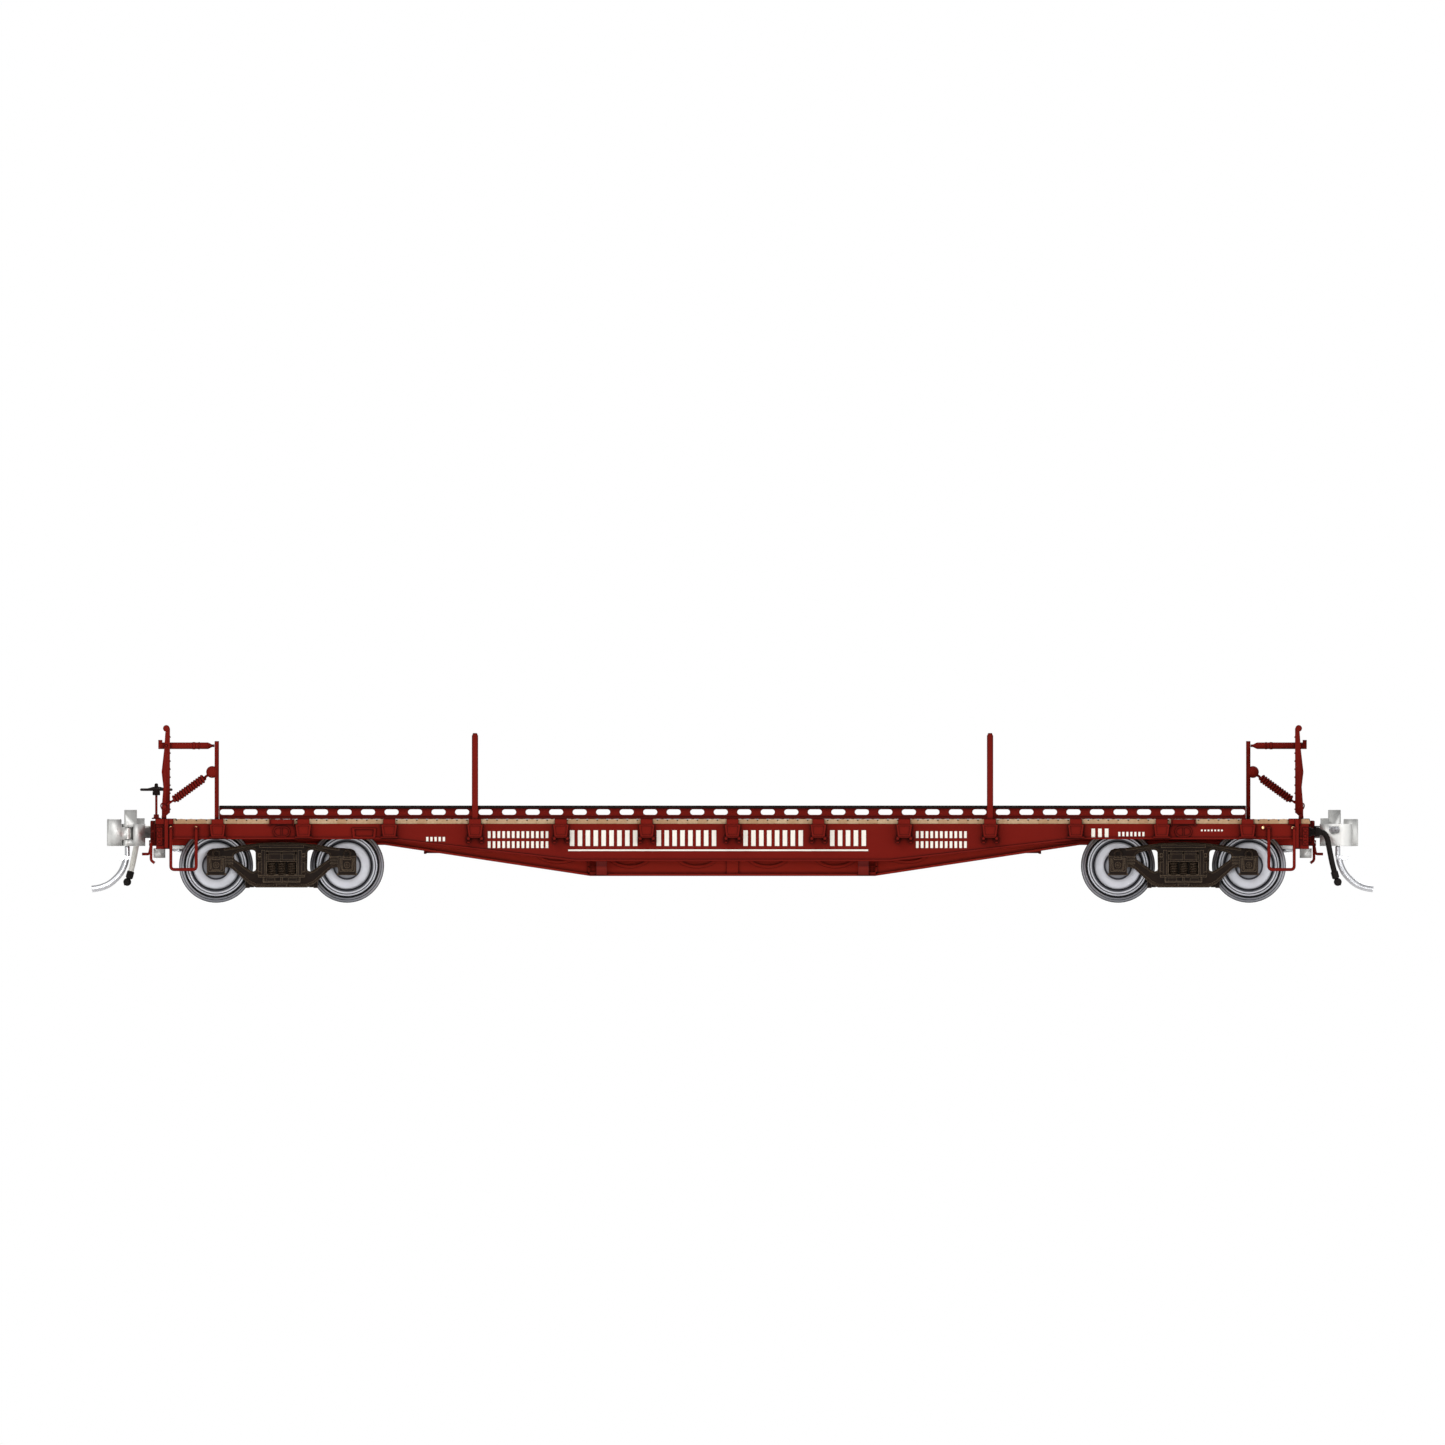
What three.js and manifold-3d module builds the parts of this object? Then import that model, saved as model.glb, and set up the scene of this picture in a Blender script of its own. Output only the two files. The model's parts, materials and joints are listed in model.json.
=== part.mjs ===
// HO scale flat car for carrying road trailers, built as an assembly of its separate pieces.
// Units are millimetres. +X is along the car, +Y across it, +Z up. The wheel flanges touch z = 0.
import * as THREE from "three";
import { mergeVertices } from "three/addons/utils/BufferGeometryUtils.js";
import Module from "manifold-3d";

const wasm = await Module();
wasm.setup();

// ---------------------------------------------------------------- driving dimensions

// Gaps between pieces that mate. The model is a fine scale, so its fits are close.
const FIT = 0.05;
const SLIP = 0.03;

// Wheels and axles.
const flangeRadius = 5.55;
const treadRadius = 4.84;
const backToBack = 14.4;
const wheelWidth = 2.7;
const axleSpacing = 19.6;
const axleRadius = 0.8;

// Deck.
const deckLength = 172.9;
const deckWidth = 32.2;
const boardThickness = 0.72;
const boardPitch = 1.5;
const boardGroove = 0.14;
const wheelRoom = 0.71;

// Underframe. Depths are measured down from the underside of the deck.
const sideSillEndDepth = 2.31;
const sideSillBellyDepth = 5.61;
const centreSillEndDepth = 3.17;
const centreSillBellyDepth = 7.81;
const sillWeb = 0.45;
const bellyHalf = 23.6;
const taperHalf = 52;
const crossBearerX = 19.6;
const weightHalfLength = 50;
const weightHalfWidth = 10;
const weightThickness = 0.8;

// Stake pockets, stakes and rub rails.
const endPocketInset = 9.35;
const pocketsEachSide = 13;
const pocketDepth = 1.6;
const stakeWidth = 0.94;
const stakeDepth = 0.84;
const stakeHeight = 12.87;
const railHeight = 2.02;
const railWidth = 1.0;
const slotLength = 2.1;
const slotHeight = 0.81;
const slotPitch = 3.52;

// Trucks.
const truckInset = 18.95;
const frameThickness = 1.15;
const frameGap = 0.55;

// Bridge plates, their lock bars and counterbalance springs.
const plateWidth = 8.15;
const plateHeight = 13.68;
const hingeInset = 1.35;
const hingeRise = 0.39;
const postWidth = 0.66;
const postHeight = 11.67;
const lockBarRise = 10.97;
const lockBarRadius = 0.5;
const ballRadius = 0.9;
const springRadius = 0.62;
const springCoils = 13;

// Couplers.
const shankThickness = 1.59;
const shankWidth = 2.2;
const couplerPivotInset = 3.45;

// ---------------------------------------------------------------- derived positions

const axleZ = flangeRadius;
const deckBottom = 2 * flangeRadius + wheelRoom;
const deckTop = deckBottom + boardThickness;
const endX = deckLength / 2;
const sideY = deckWidth / 2;
const sillOuter = sideY + FIT;
const sillInner = sillOuter - sillWeb;
const truckX = endX - truckInset;
const wheelBack = backToBack / 2;
const wheelFront = wheelBack + wheelWidth;
const frameInner = wheelFront + frameGap;
const frameOuter = frameInner + frameThickness;
const bearingZ = deckBottom - centreSillEndDepth;
const endPocketX = endX - endPocketInset;
const pocketPitch = (2 * endPocketX) / (pocketsEachSide - 1);
const pocketY = sideY + 0.85;
const pocketOuter = sideY + pocketDepth;
const couplerZ = deckBottom - 1.335;
const pivotX = endX - couplerPivotInset;

// ---------------------------------------------------------------- shape helpers

function toSolid(geometry) {
  geometry.deleteAttribute("normal");
  geometry.deleteAttribute("uv");
  const merged = mergeVertices(geometry, 1e-4);
  const corners = new Uint32Array(merged.index.array);
  const parts = { numProp: 3, vertProperties: merged.attributes.position.array, triVerts: corners };
  const solid = new wasm.Manifold(new wasm.Mesh(parts));
  if (solid.volume() > 0) return solid;
  for (let i = 0; i < corners.length; i += 3) {
    const swap = corners[i + 1];
    corners[i + 1] = corners[i + 2];
    corners[i + 2] = swap;
  }
  return new wasm.Manifold(new wasm.Mesh(parts));
}

function join(solids) {
  return solids.reduce((whole, next) => whole.add(next));
}

function cut(solid, tools) {
  return tools.reduce((whole, next) => whole.subtract(next), solid);
}

// Half a turn about Z: a piece of the -X end becomes the same piece of the +X end.
function turned(solid) {
  return solid.rotate([0, 0, 180]);
}

function acrossCar(solid) {
  return solid.mirror([0, 1, 0]);
}

function alongCar(solid) {
  return solid.mirror([1, 0, 0]);
}

function box(x, y, z) {
  const g = new THREE.BoxGeometry(x[1] - x[0], y[1] - y[0], z[1] - z[0]);
  g.translate((x[0] + x[1]) / 2, (y[0] + y[1]) / 2, (z[0] + z[1]) / 2);
  return toSolid(g);
}

function path2(points) {
  return points.map(([a, b]) => new THREE.Vector2(a, b));
}

// The outline is given anticlockwise so that every hole is wound to suit it.
function extruded(outline, depth, holes) {
  const edge = path2(outline);
  if (THREE.ShapeUtils.isClockWise(edge)) edge.reverse();
  const shape = new THREE.Shape(edge);
  holes.forEach((hole) => shape.holes.push(new THREE.Path(path2(hole))));
  return new THREE.ExtrudeGeometry(shape, { depth, bevelEnabled: false });
}

// An outline in X and Z, given a thickness in Y.
function plateY(outline, y, holes = []) {
  const g = extruded(outline, y[1] - y[0], holes);
  g.rotateX(Math.PI / 2);
  g.translate(0, y[1], 0);
  return toSolid(g);
}

// An outline in Y and Z, given a thickness in X.
function plateX(outline, x, holes = []) {
  const g = extruded(outline, x[1] - x[0], holes);
  const turn = new THREE.Matrix4().makeBasis(
    new THREE.Vector3(0, 1, 0),
    new THREE.Vector3(0, 0, 1),
    new THREE.Vector3(1, 0, 0),
  );
  g.applyMatrix4(turn);
  g.translate(x[0], 0, 0);
  return toSolid(g);
}

// An outline in X and Y, given a thickness in Z.
function plateZ(outline, z, holes = []) {
  const g = extruded(outline, z[1] - z[0], holes);
  g.translate(0, 0, z[0]);
  return toSolid(g);
}

// A round bar between two points, tapering where its two radii differ.
function rod(from, to, radius, segments = 8, endRadius = radius) {
  const a = new THREE.Vector3(...from);
  const b = new THREE.Vector3(...to);
  const g = new THREE.CylinderGeometry(endRadius, radius, a.distanceTo(b), segments);
  const axis = b.clone().sub(a).normalize();
  g.applyQuaternion(new THREE.Quaternion().setFromUnitVectors(new THREE.Vector3(0, 1, 0), axis));
  g.translate((a.x + b.x) / 2, (a.y + b.y) / 2, (a.z + b.z) / 2);
  return toSolid(g);
}

function ball(centre, radius, across = 10, down = 6) {
  const g = new THREE.SphereGeometry(radius, across, down);
  g.translate(...centre);
  return toSolid(g);
}

// Bent wire through the points given.
function wire(points, radius, steps, segments = 6, tension = 0.5) {
  const curve = new THREE.CatmullRomCurve3(
    points.map((p) => new THREE.Vector3(...p)),
    false,
    "catmullrom",
    tension,
  );
  const ring = [];
  for (let i = 0; i < segments; i += 1) {
    const a = (2 * Math.PI * i) / segments;
    ring.push(new THREE.Vector2(radius * Math.cos(a), radius * Math.sin(a)));
  }
  const shape = new THREE.Shape(ring);
  return toSolid(new THREE.ExtrudeGeometry(shape, { steps, extrudePath: curve, bevelEnabled: false }));
}

// A wire bent at sharp corners: straight legs, each run a little past its corner.
function bentRod(points, radius, segments = 6) {
  const last = points.length - 1;
  const legs = [];
  for (let i = 1; i <= last; i += 1) {
    const a = new THREE.Vector3(...points[i - 1]);
    const b = new THREE.Vector3(...points[i]);
    const past = b.clone().sub(a).setLength(radius * 0.9);
    if (i > 1) a.sub(past);
    if (i < last) b.add(past);
    legs.push(rod(a.toArray(), b.toArray(), radius, segments));
  }
  return join(legs);
}

function oval(x, z, halfLength, halfHeight, segments) {
  const points = [];
  for (let i = 0; i < segments; i += 1) {
    const a = (2 * Math.PI * (i + 0.5)) / segments;
    points.push([x + halfLength * Math.cos(a), z + halfHeight * Math.sin(a)]);
  }
  return points;
}

const group = new THREE.Group();
group.name = "piggyback_flat_car";

function addPart(name, solid, colour, roughness, metalness) {
  const mesh = solid.asOriginal().simplify(0.002).getMesh();
  const g = new THREE.BufferGeometry();
  g.setAttribute("position", new THREE.BufferAttribute(new Float32Array(mesh.vertProperties), 3));
  g.setIndex(new THREE.BufferAttribute(new Uint32Array(mesh.triVerts), 1));
  const flat = g.toNonIndexed();
  flat.computeVertexNormals();
  const material = new THREE.MeshStandardMaterial({ color: colour, roughness, metalness });
  const part = new THREE.Mesh(flat, material);
  part.name = name;
  group.add(part);
}

const oxideRed = 0x7e2a20;
const deckTan = 0xc4a27c;
const truckBrown = 0x2c2118;
const steelGrey = 0x8d9094;
const blackened = 0x3a3a3d;
const rubberBlack = 0x1c1a18;

// ---------------------------------------------------------------- underframe

function bellyLine(endDepth, bellyDepth, flat, taper, half) {
  return [
    [-half, deckBottom - endDepth],
    [-taper, deckBottom - endDepth],
    [-flat, deckBottom - bellyDepth],
    [flat, deckBottom - bellyDepth],
    [taper, deckBottom - endDepth],
    [half, deckBottom - endDepth],
  ];
}

// A strip that follows a belly line, as thick as a flange.
function flangeStrip(line, thickness) {
  const upper = line.map(([x, z]) => [x, z + thickness]).reverse();
  return [...line, ...upper];
}

function sideSill() {
  const half = endX - 0.15;
  const line = bellyLine(sideSillEndDepth, sideSillBellyDepth, bellyHalf, taperHalf, half);
  const web = [...line, [half, deckBottom], [-half, deckBottom]];
  const flangeY = [sillInner - 0.8, sillOuter + 0.15];
  return join([
    plateY(web, [sillInner, sillOuter]),
    plateY(flangeStrip(line, 0.3), flangeY),
    box([-half, half], [sillInner - 0.8, sillOuter], [deckBottom - 0.36, deckBottom]),
  ]);
}

function centreSill() {
  const half = endX - 7;
  const flat = bellyHalf - 2.3;
  const line = bellyLine(centreSillEndDepth, centreSillBellyDepth, flat, taperHalf, half);
  const web = [...line, [half, deckBottom], [-half, deckBottom]];
  const centres = [5.3, 15.4, 26];
  const pressed = [];
  centres.forEach((x) => {
    const height = x > flat ? 1.35 : 2.0;
    const middle = deckBottom - (x > flat ? 4.4 : 4.45);
    pressed.push(oval(x, middle, 3.2, height, 8));
    pressed.push(oval(-x, middle, 3.2, height, 8));
  });
  const one = plateY(web, [2.6, 2.9]).add(plateY(web, [2.85, 3.1], pressed));
  return join([one, acrossCar(one), plateY(flangeStrip(line, 0.35), [-3.6, 3.6])]);
}

function deepCrossBearer(x) {
  const inner = deckBottom - centreSillBellyDepth;
  const outer = deckBottom - sideSillBellyDepth;
  const outline = [
    [3, inner],
    [sillInner + 0.2, outer],
    [sillInner + 0.2, deckBottom],
    [3, deckBottom],
  ];
  const foot = [
    [3, inner],
    [sillInner + 0.2, outer],
    [sillInner + 0.2, outer + 0.35],
    [3, inner + 0.35],
  ];
  const arm = join([plateX(outline, [x - 0.25, x + 0.25]), plateX(foot, [x - 0.8, x + 0.8])]);
  const rodHole = rod([x - 1, 4.9, deckBottom - 4.2], [x + 1, 4.9, deckBottom - 4.2], 0.45);
  return join([cut(arm, [rodHole]), acrossCar(arm)]);
}

function shallowCrossBearer(x) {
  const reach = sillInner + 0.2;
  return box([x - 0.4, x + 0.4], [-reach, reach], [deckBottom - 1.9, deckBottom]);
}

function bodyBolster(x) {
  const reach = sillInner + 0.2;
  const lower = deckBottom - 2.2;
  const outline = [
    [-reach, lower + 0.6],
    [-9, lower],
    [9, lower],
    [reach, lower + 0.6],
    [reach, deckBottom],
    [-reach, deckBottom],
  ];
  return join([
    plateX(outline, [x - 2, x + 2]),
    rod([x, 0, bearingZ], [x, 0, deckBottom - 1], 3, 12),
  ]);
}

function stakePocket(x) {
  const waist = deckBottom - 0.06;
  const foot = deckBottom - 1.95;
  const body = [
    [x - 1.2, waist],
    [x - 0.95, foot],
    [x + 0.95, foot],
    [x + 1.2, waist],
    [x + 0.9, waist],
    [x + 0.9, deckTop],
    [x - 0.9, deckTop],
    [x - 0.9, waist],
  ];
  const solid = plateY(body, [sideY + 0.01, pocketOuter]);
  const wall = SLIP + stakeWidth / 2;
  const well = SLIP + stakeDepth / 2;
  const hole = box([x - wall, x + wall], [pocketY - well, pocketY + well], [foot - 1, deckTop + 1]);
  return solid.subtract(hole);
}

// The end of the car at -X: end sill, corner gussets, draft pocket and cut lever brackets.
const draftHalf = 3.6;
const pocketHalf = 3.0;
const lidTop = couplerZ - shankThickness / 2 - 0.08;
const draftRoof = couplerZ + shankThickness / 2 + 0.08;
const lidBottom = deckBottom - 3.77;
const leverX = -endX - 0.55;
const leverZ = lidBottom + 0.9;

function endOfFrame() {
  const face = -endX + 0.15;
  const corner = box([face, face + 2.4], [sillOuter - 1.6, sillOuter], [lidBottom, deckBottom - 1]);
  const bracket = box([leverX - 0.35, face + 0.1], [0, 0.7], [leverZ - 0.42, leverZ + 0.42]);
  const solid = join([
    box([face, face + 0.8], [-sillOuter, sillOuter], [lidBottom, deckBottom]),
    corner,
    acrossCar(corner),
    box([face, face + 7], [-draftHalf, draftHalf], [lidBottom, deckBottom]),
    bracket.translate([0, -5.2, 0]),
    bracket.translate([0, -14, 0]),
  ]);
  return cut(solid, [
    box([face - 1, face + 6.3], [-pocketHalf, pocketHalf], [lidBottom - 1, draftRoof]),
    box([face - 1, face + 8], [-draftHalf - 1, draftHalf + 1], [lidBottom - 1, lidBottom + 0.56]),
    rod([leverX, -15, leverZ], [leverX, -4, leverZ], 0.21 + FIT, 8),
  ]);
}

function underframe() {
  const pieces = [sideSill(), acrossCar(sideSill()), centreSill()];
  [-crossBearerX, crossBearerX].forEach((x) => pieces.push(deepCrossBearer(x)));
  [6.5, 33, 46].forEach((x) => {
    pieces.push(shallowCrossBearer(x));
    pieces.push(shallowCrossBearer(-x));
  });
  [-truckX, truckX].forEach((x) => pieces.push(bodyBolster(x)));
  const stringer = box([-46, 46], [11.3, 11.8], [deckBottom - 1.3, deckBottom]);
  pieces.push(stringer, acrossCar(stringer));
  pieces.push(endOfFrame(), turned(endOfFrame()));
  const middle = (pocketsEachSide - 1) / 2;
  for (let i = -middle; i <= middle; i += 1) {
    const pocket = stakePocket(i * pocketPitch);
    pieces.push(pocket, acrossCar(pocket));
  }
  const length = weightHalfLength + FIT;
  const width = weightHalfWidth + FIT;
  const recess = box([-length, length], [-width, width], [deckBottom - weightThickness, deckBottom + 1]);
  const screwHole = rod([-truckX, 0, 0], [-truckX, 0, deckBottom - 0.4], 1, 10);
  return cut(join(pieces), [recess, screwHole, alongCar(screwHole)]);
}

addPart("underframe", underframe(), oxideRed, 0.6, 0);

// ---------------------------------------------------------------- deck, weight, rails, posts, stakes

function deck() {
  const boards = Math.floor(deckLength / boardPitch);
  const first = (-boards * boardPitch) / 2;
  const outline = [
    [-endX, deckBottom],
    [endX, deckBottom],
    [endX, deckTop],
  ];
  for (let i = boards; i >= 0; i -= 1) {
    const x = first + i * boardPitch;
    outline.push([x + boardGroove / 2, deckTop]);
    outline.push([x, deckTop - 0.12]);
    outline.push([x - boardGroove / 2, deckTop]);
  }
  outline.push([-endX, deckTop]);
  return plateY(outline, [-sideY, sideY]);
}

addPart("deck", deck(), deckTan, 0.85, 0);

const weightZ = [deckBottom - weightThickness, deckBottom - SLIP];
const weight = box([-weightHalfLength, weightHalfLength], [-weightHalfWidth, weightHalfWidth], weightZ);
addPart("ballast_weight", weight, steelGrey, 0.5, 1);

function rubRail() {
  const half = endPocketX - 0.25;
  const web = sideY - 1.6;
  const slots = [];
  const count = Math.floor((2 * half - slotLength - 0.1) / slotPitch) + 1;
  const middle = deckTop + 1.045;
  const round = slotHeight / 2;
  const flat = slotLength / 2 - 0.8 * round;
  const tip = slotLength / 2;
  for (let i = 0; i < count; i += 1) {
    const x = (i - (count - 1) / 2) * slotPitch;
    slots.push([
      [x - flat, middle - round],
      [x + flat, middle - round],
      [x + tip, middle],
      [x + flat, middle + round],
      [x - flat, middle + round],
      [x - tip, middle],
    ]);
  }
  const face = [
    [-half, deckTop],
    [half, deckTop],
    [half, deckTop + railHeight],
    [-half, deckTop + railHeight],
  ];
  return join([
    plateY(face, [web, web + 0.35], slots),
    box([-half, half], [web, web + railWidth], [deckTop + railHeight - 0.37, deckTop + railHeight]),
    box([-half, half], [web, web + railWidth], [deckTop, deckTop + 0.3]),
  ]);
}

addPart("rub_rail_far", rubRail(), oxideRed, 0.6, 0);
addPart("rub_rail_near", acrossCar(rubRail()), oxideRed, 0.6, 0);

// The pieces of the bridge plate gear are worked out for the -X end, on the near side.
const stakeBottom = deckBottom - 1.9;
const postX = -endPocketX - 0.1;
const barY = -(pocketY - 1.8);
const barZ = deckTop + lockBarRise;
const barPivotX = -endX + 1.7;
const plateOuterY = -(pocketY - 0.8);
const plateInnerY = plateOuterY + plateWidth;
const hingeX = -endX + hingeInset;
const hingeZ = deckTop + hingeRise;
const ballX = postX - 0.7;
const ballZ = deckTop + 7.04;
const eyeX = hingeX + 0.05;
const eyeZ = hingeZ + 1.43;
const springLength = Math.hypot(eyeX - ballX, eyeZ - ballZ);
const springX = (eyeX - ballX) / springLength;
const springZ = (eyeZ - ballZ) / springLength;

// A point on the line of the spring, measured from the middle of the ball.
function alongSpring(distance) {
  return [ballX + distance * springX, -pocketY, ballZ + distance * springZ];
}

function endPost() {
  const x = [postX - postWidth / 2, postX + postWidth / 2];
  const outer = -(pocketY + stakeDepth / 2);
  const inner = -(pocketY - stakeDepth / 2);
  const top = deckTop + postHeight;
  const arm = [
    [inner - 0.1, top - 3.2],
    [barY + 0.5, top - 1.5],
    [barY + 0.5, top],
    [inner - 0.1, top],
  ];
  return join([
    box(x, [outer, inner], [stakeBottom, top]),
    plateX(arm, x),
    ball([ballX, -pocketY, ballZ], ballRadius),
  ]);
}

addPart("end_post_near", endPost(), oxideRed, 0.6, 0);
addPart("end_post_far", turned(endPost()), oxideRed, 0.6, 0);

function stake(x) {
  const half = stakeWidth / 2;
  const y = [pocketY - stakeDepth / 2, pocketY + stakeDepth / 2];
  const top = deckTop + stakeHeight;
  const lower = box([x - half, x + half], y, [stakeBottom, top - 0.3]);
  return lower.add(box([x - half + 0.12, x + half - 0.12], y, [top - 0.4, top]));
}

const stakeX = 3 * pocketPitch;
addPart("stake_left_far", stake(-stakeX), oxideRed, 0.6, 0);
addPart("stake_right_far", stake(stakeX), oxideRed, 0.6, 0);
addPart("stake_left_near", acrossCar(stake(-stakeX)), oxideRed, 0.6, 0);
addPart("stake_right_near", acrossCar(stake(stakeX)), oxideRed, 0.6, 0);

// ---------------------------------------------------------------- bridge plates

const skinX = hingeX + 0.9;
const barrelRadius = hingeRise - SLIP;
const pinRadius = 0.17;
const plateTop = deckTop + plateHeight - 0.03;
const barrels = [
  [plateOuterY, plateOuterY + 1.55],
  [plateOuterY + 3.15, plateOuterY + 4.95],
  [plateInnerY - 1.6, plateInnerY],
];
const lugs = [
  [barrels[0][1] + FIT, barrels[1][0] - FIT],
  [barrels[1][1] + FIT, barrels[2][0] - FIT],
];
const slotY = [barY - lockBarRadius - 0.1, barY + lockBarRadius + 0.1];

function stringer(y) {
  const outline = [
    [skinX, hingeZ + 0.55],
    [skinX, plateTop - 0.4],
    [hingeX + 0.2, plateTop - 0.6],
    [hingeX + 0.01, hingeZ + 9.94],
    [hingeX - 0.37, hingeZ + 6.65],
    [hingeX - 0.1, hingeZ + 4.38],
    [hingeX - 0.34, hingeZ + 1.5],
    [hingeX - 0.34, hingeZ + 0.1],
    [hingeX + 0.1, hingeZ + 0.1],
  ];
  return plateY(outline, y);
}

function bridgePlate() {
  const rib = 0.4;
  const lipX = skinX - 0.55;
  const lipZ = deckTop + 13.57;
  const solid = join([
    box([skinX - 0.35, skinX], [plateOuterY, plateInnerY], [hingeZ + 0.55, lipZ]),
    rod([lipX, plateOuterY, lipZ], [lipX, plateInnerY, lipZ], 0.5, 8),
    stringer([plateOuterY, slotY[0]]),
    stringer([slotY[1], slotY[1] + rib]),
    stringer([barrels[1][0] + 0.7, barrels[1][0] + 0.7 + rib]),
    stringer([plateInnerY - rib, plateInnerY]),
    ...barrels.map(([low, high]) =>
      join([
        rod([hingeX, low, hingeZ], [hingeX, high, hingeZ], barrelRadius, 8),
        plateY(
          [
            [hingeX - 0.1, hingeZ + 0.15],
            [hingeX + 0.3, hingeZ + 0.05],
            [skinX, hingeZ + 0.6],
            [skinX - 0.3, hingeZ + 0.9],
          ],
          [low, high],
        ),
      ]),
    ),
    rod([eyeX, plateOuterY - 1.25, eyeZ], [eyeX, plateOuterY + 0.2, eyeZ], 0.2, 6),
    rod([eyeX, plateOuterY - 1.35, eyeZ], [eyeX, plateOuterY - 1.2, eyeZ], 0.34, 6),
  ]);
  return cut(solid, [
    box([skinX - 1.6, skinX + 1], slotY, [barZ - 1.9, plateTop + 2]),
    ...lugs.map(([low, high]) => {
      const room = [hingeX - 0.5, hingeX + hingeRise + SLIP];
      return box(room, [low - FIT, high + FIT], [hingeZ - 1, hingeZ + hingeRise + SLIP]);
    }),
    rod([hingeX, plateOuterY - 1, hingeZ], [hingeX, plateInnerY + 1, hingeZ], pinRadius + SLIP, 8),
    rod([barPivotX, slotY[0] - 1, barZ], [barPivotX, slotY[1] + 1, barZ], 0.2 + FIT, 8),
  ]);
}

addPart("bridge_plate_left", bridgePlate(), oxideRed, 0.6, 0);
addPart("bridge_plate_right", turned(bridgePlate()), oxideRed, 0.6, 0);

function hingePin() {
  const pieces = [rod([hingeX, plateOuterY - 0.15, hingeZ], [hingeX, plateInnerY + 0.15, hingeZ], pinRadius, 8)];
  lugs.forEach((y) => {
    pieces.push(rod([hingeX, y[0], hingeZ], [hingeX, y[1], hingeZ], hingeRise - 0.01, 10));
    pieces.push(box([hingeX - 0.38, hingeX + 0.38], y, [deckTop, hingeZ]));
  });
  return join(pieces);
}

addPart("bridge_hinge_left", hingePin(), oxideRed, 0.6, 0);
addPart("bridge_hinge_right", turned(hingePin()), oxideRed, 0.6, 0);

function lockBar() {
  const post = postX - postWidth / 2 - FIT;
  const cone = postX - 1.24;
  const head = hingeX - 0.86;
  const at = (x) => [x, barY, barZ];
  return join([
    rod(at(head), at(cone), lockBarRadius, 8),
    rod(at(cone), at(cone + 0.55), lockBarRadius, 8, 0.2),
    rod(at(cone + 0.5), at(post), 0.2, 8),
    rod(at(cone - 2.35), at(cone - 1.9), lockBarRadius + 0.05, 8),
    rod(at(cone - 1.5), at(cone - 1.3), lockBarRadius + 0.05, 8),
    box([head, head + 0.62], [barY - 0.35, barY + 0.35], [barZ, barZ + 0.87]),
    rod([barPivotX, barY - 0.95, barZ], [barPivotX, barY + 0.95, barZ], 0.2, 8),
  ]);
}

addPart("lock_bar_left", lockBar(), oxideRed, 0.5, 0);
addPart("lock_bar_right", turned(lockBar()), oxideRed, 0.5, 0);

// Close-wound coil, ribbed at its pitch, with its hook at the ball.
const coilStart = 1.46;
const coilEnd = 7.19;

function springCoil() {
  const profile = [new THREE.Vector2(0, 0)];
  const pitch = (coilEnd - coilStart) / springCoils;
  for (let i = 0; i < springCoils; i += 1) {
    profile.push(new THREE.Vector2(springRadius - 0.13, i * pitch));
    profile.push(new THREE.Vector2(springRadius, (i + 0.5) * pitch));
  }
  profile.push(new THREE.Vector2(springRadius - 0.13, coilEnd - coilStart));
  profile.push(new THREE.Vector2(0, coilEnd - coilStart));
  const g = new THREE.LatheGeometry(profile, 6);
  const axis = new THREE.Vector3(springX, 0, springZ);
  g.applyQuaternion(new THREE.Quaternion().setFromUnitVectors(new THREE.Vector3(0, 1, 0), axis));
  g.translate(...alongSpring(coilStart));
  return toSolid(g).add(rod(alongSpring(ballRadius + FIT), alongSpring(coilStart + 0.2), 0.16, 6));
}

addPart("counterbalance_spring_left", springCoil(), oxideRed, 0.5, 0);
addPart("counterbalance_spring_right", turned(springCoil()), oxideRed, 0.5, 0);

// The eye is longer than it is wide, because the pin in it swings on an arc as the hook pulls straight.
const eyeShift = -0.03;

function springHook() {
  const normal = [-springZ, springX];
  const ring = (wide, long, shift) => {
    const points = [];
    for (let i = 0; i < 10; i += 1) {
      const a = (2 * Math.PI * i) / 10;
      const u = wide * Math.cos(a);
      const v = long * Math.sin(a) + shift;
      points.push([eyeX + u * springX + v * normal[0], eyeZ + u * springZ + v * normal[1]]);
    }
    return points;
  };
  const y = [-pocketY - 0.25, -pocketY + 0.25];
  const eye = plateY(ring(0.57, 0.77, eyeShift), y, [ring(0.36, 0.57, eyeShift)]);
  return eye.add(rod(alongSpring(coilEnd + FIT), alongSpring(springLength - 0.4), 0.16, 6));
}

addPart("spring_hook_left", springHook(), oxideRed, 0.5, 0);
addPart("spring_hook_right", turned(springHook()), oxideRed, 0.5, 0);

// ---------------------------------------------------------------- hand brake

const staffX = -endX + 0.2;
const staffY = 9;
const staffRadius = 0.18;
const wheelZ = deckTop + 4.4;

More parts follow.
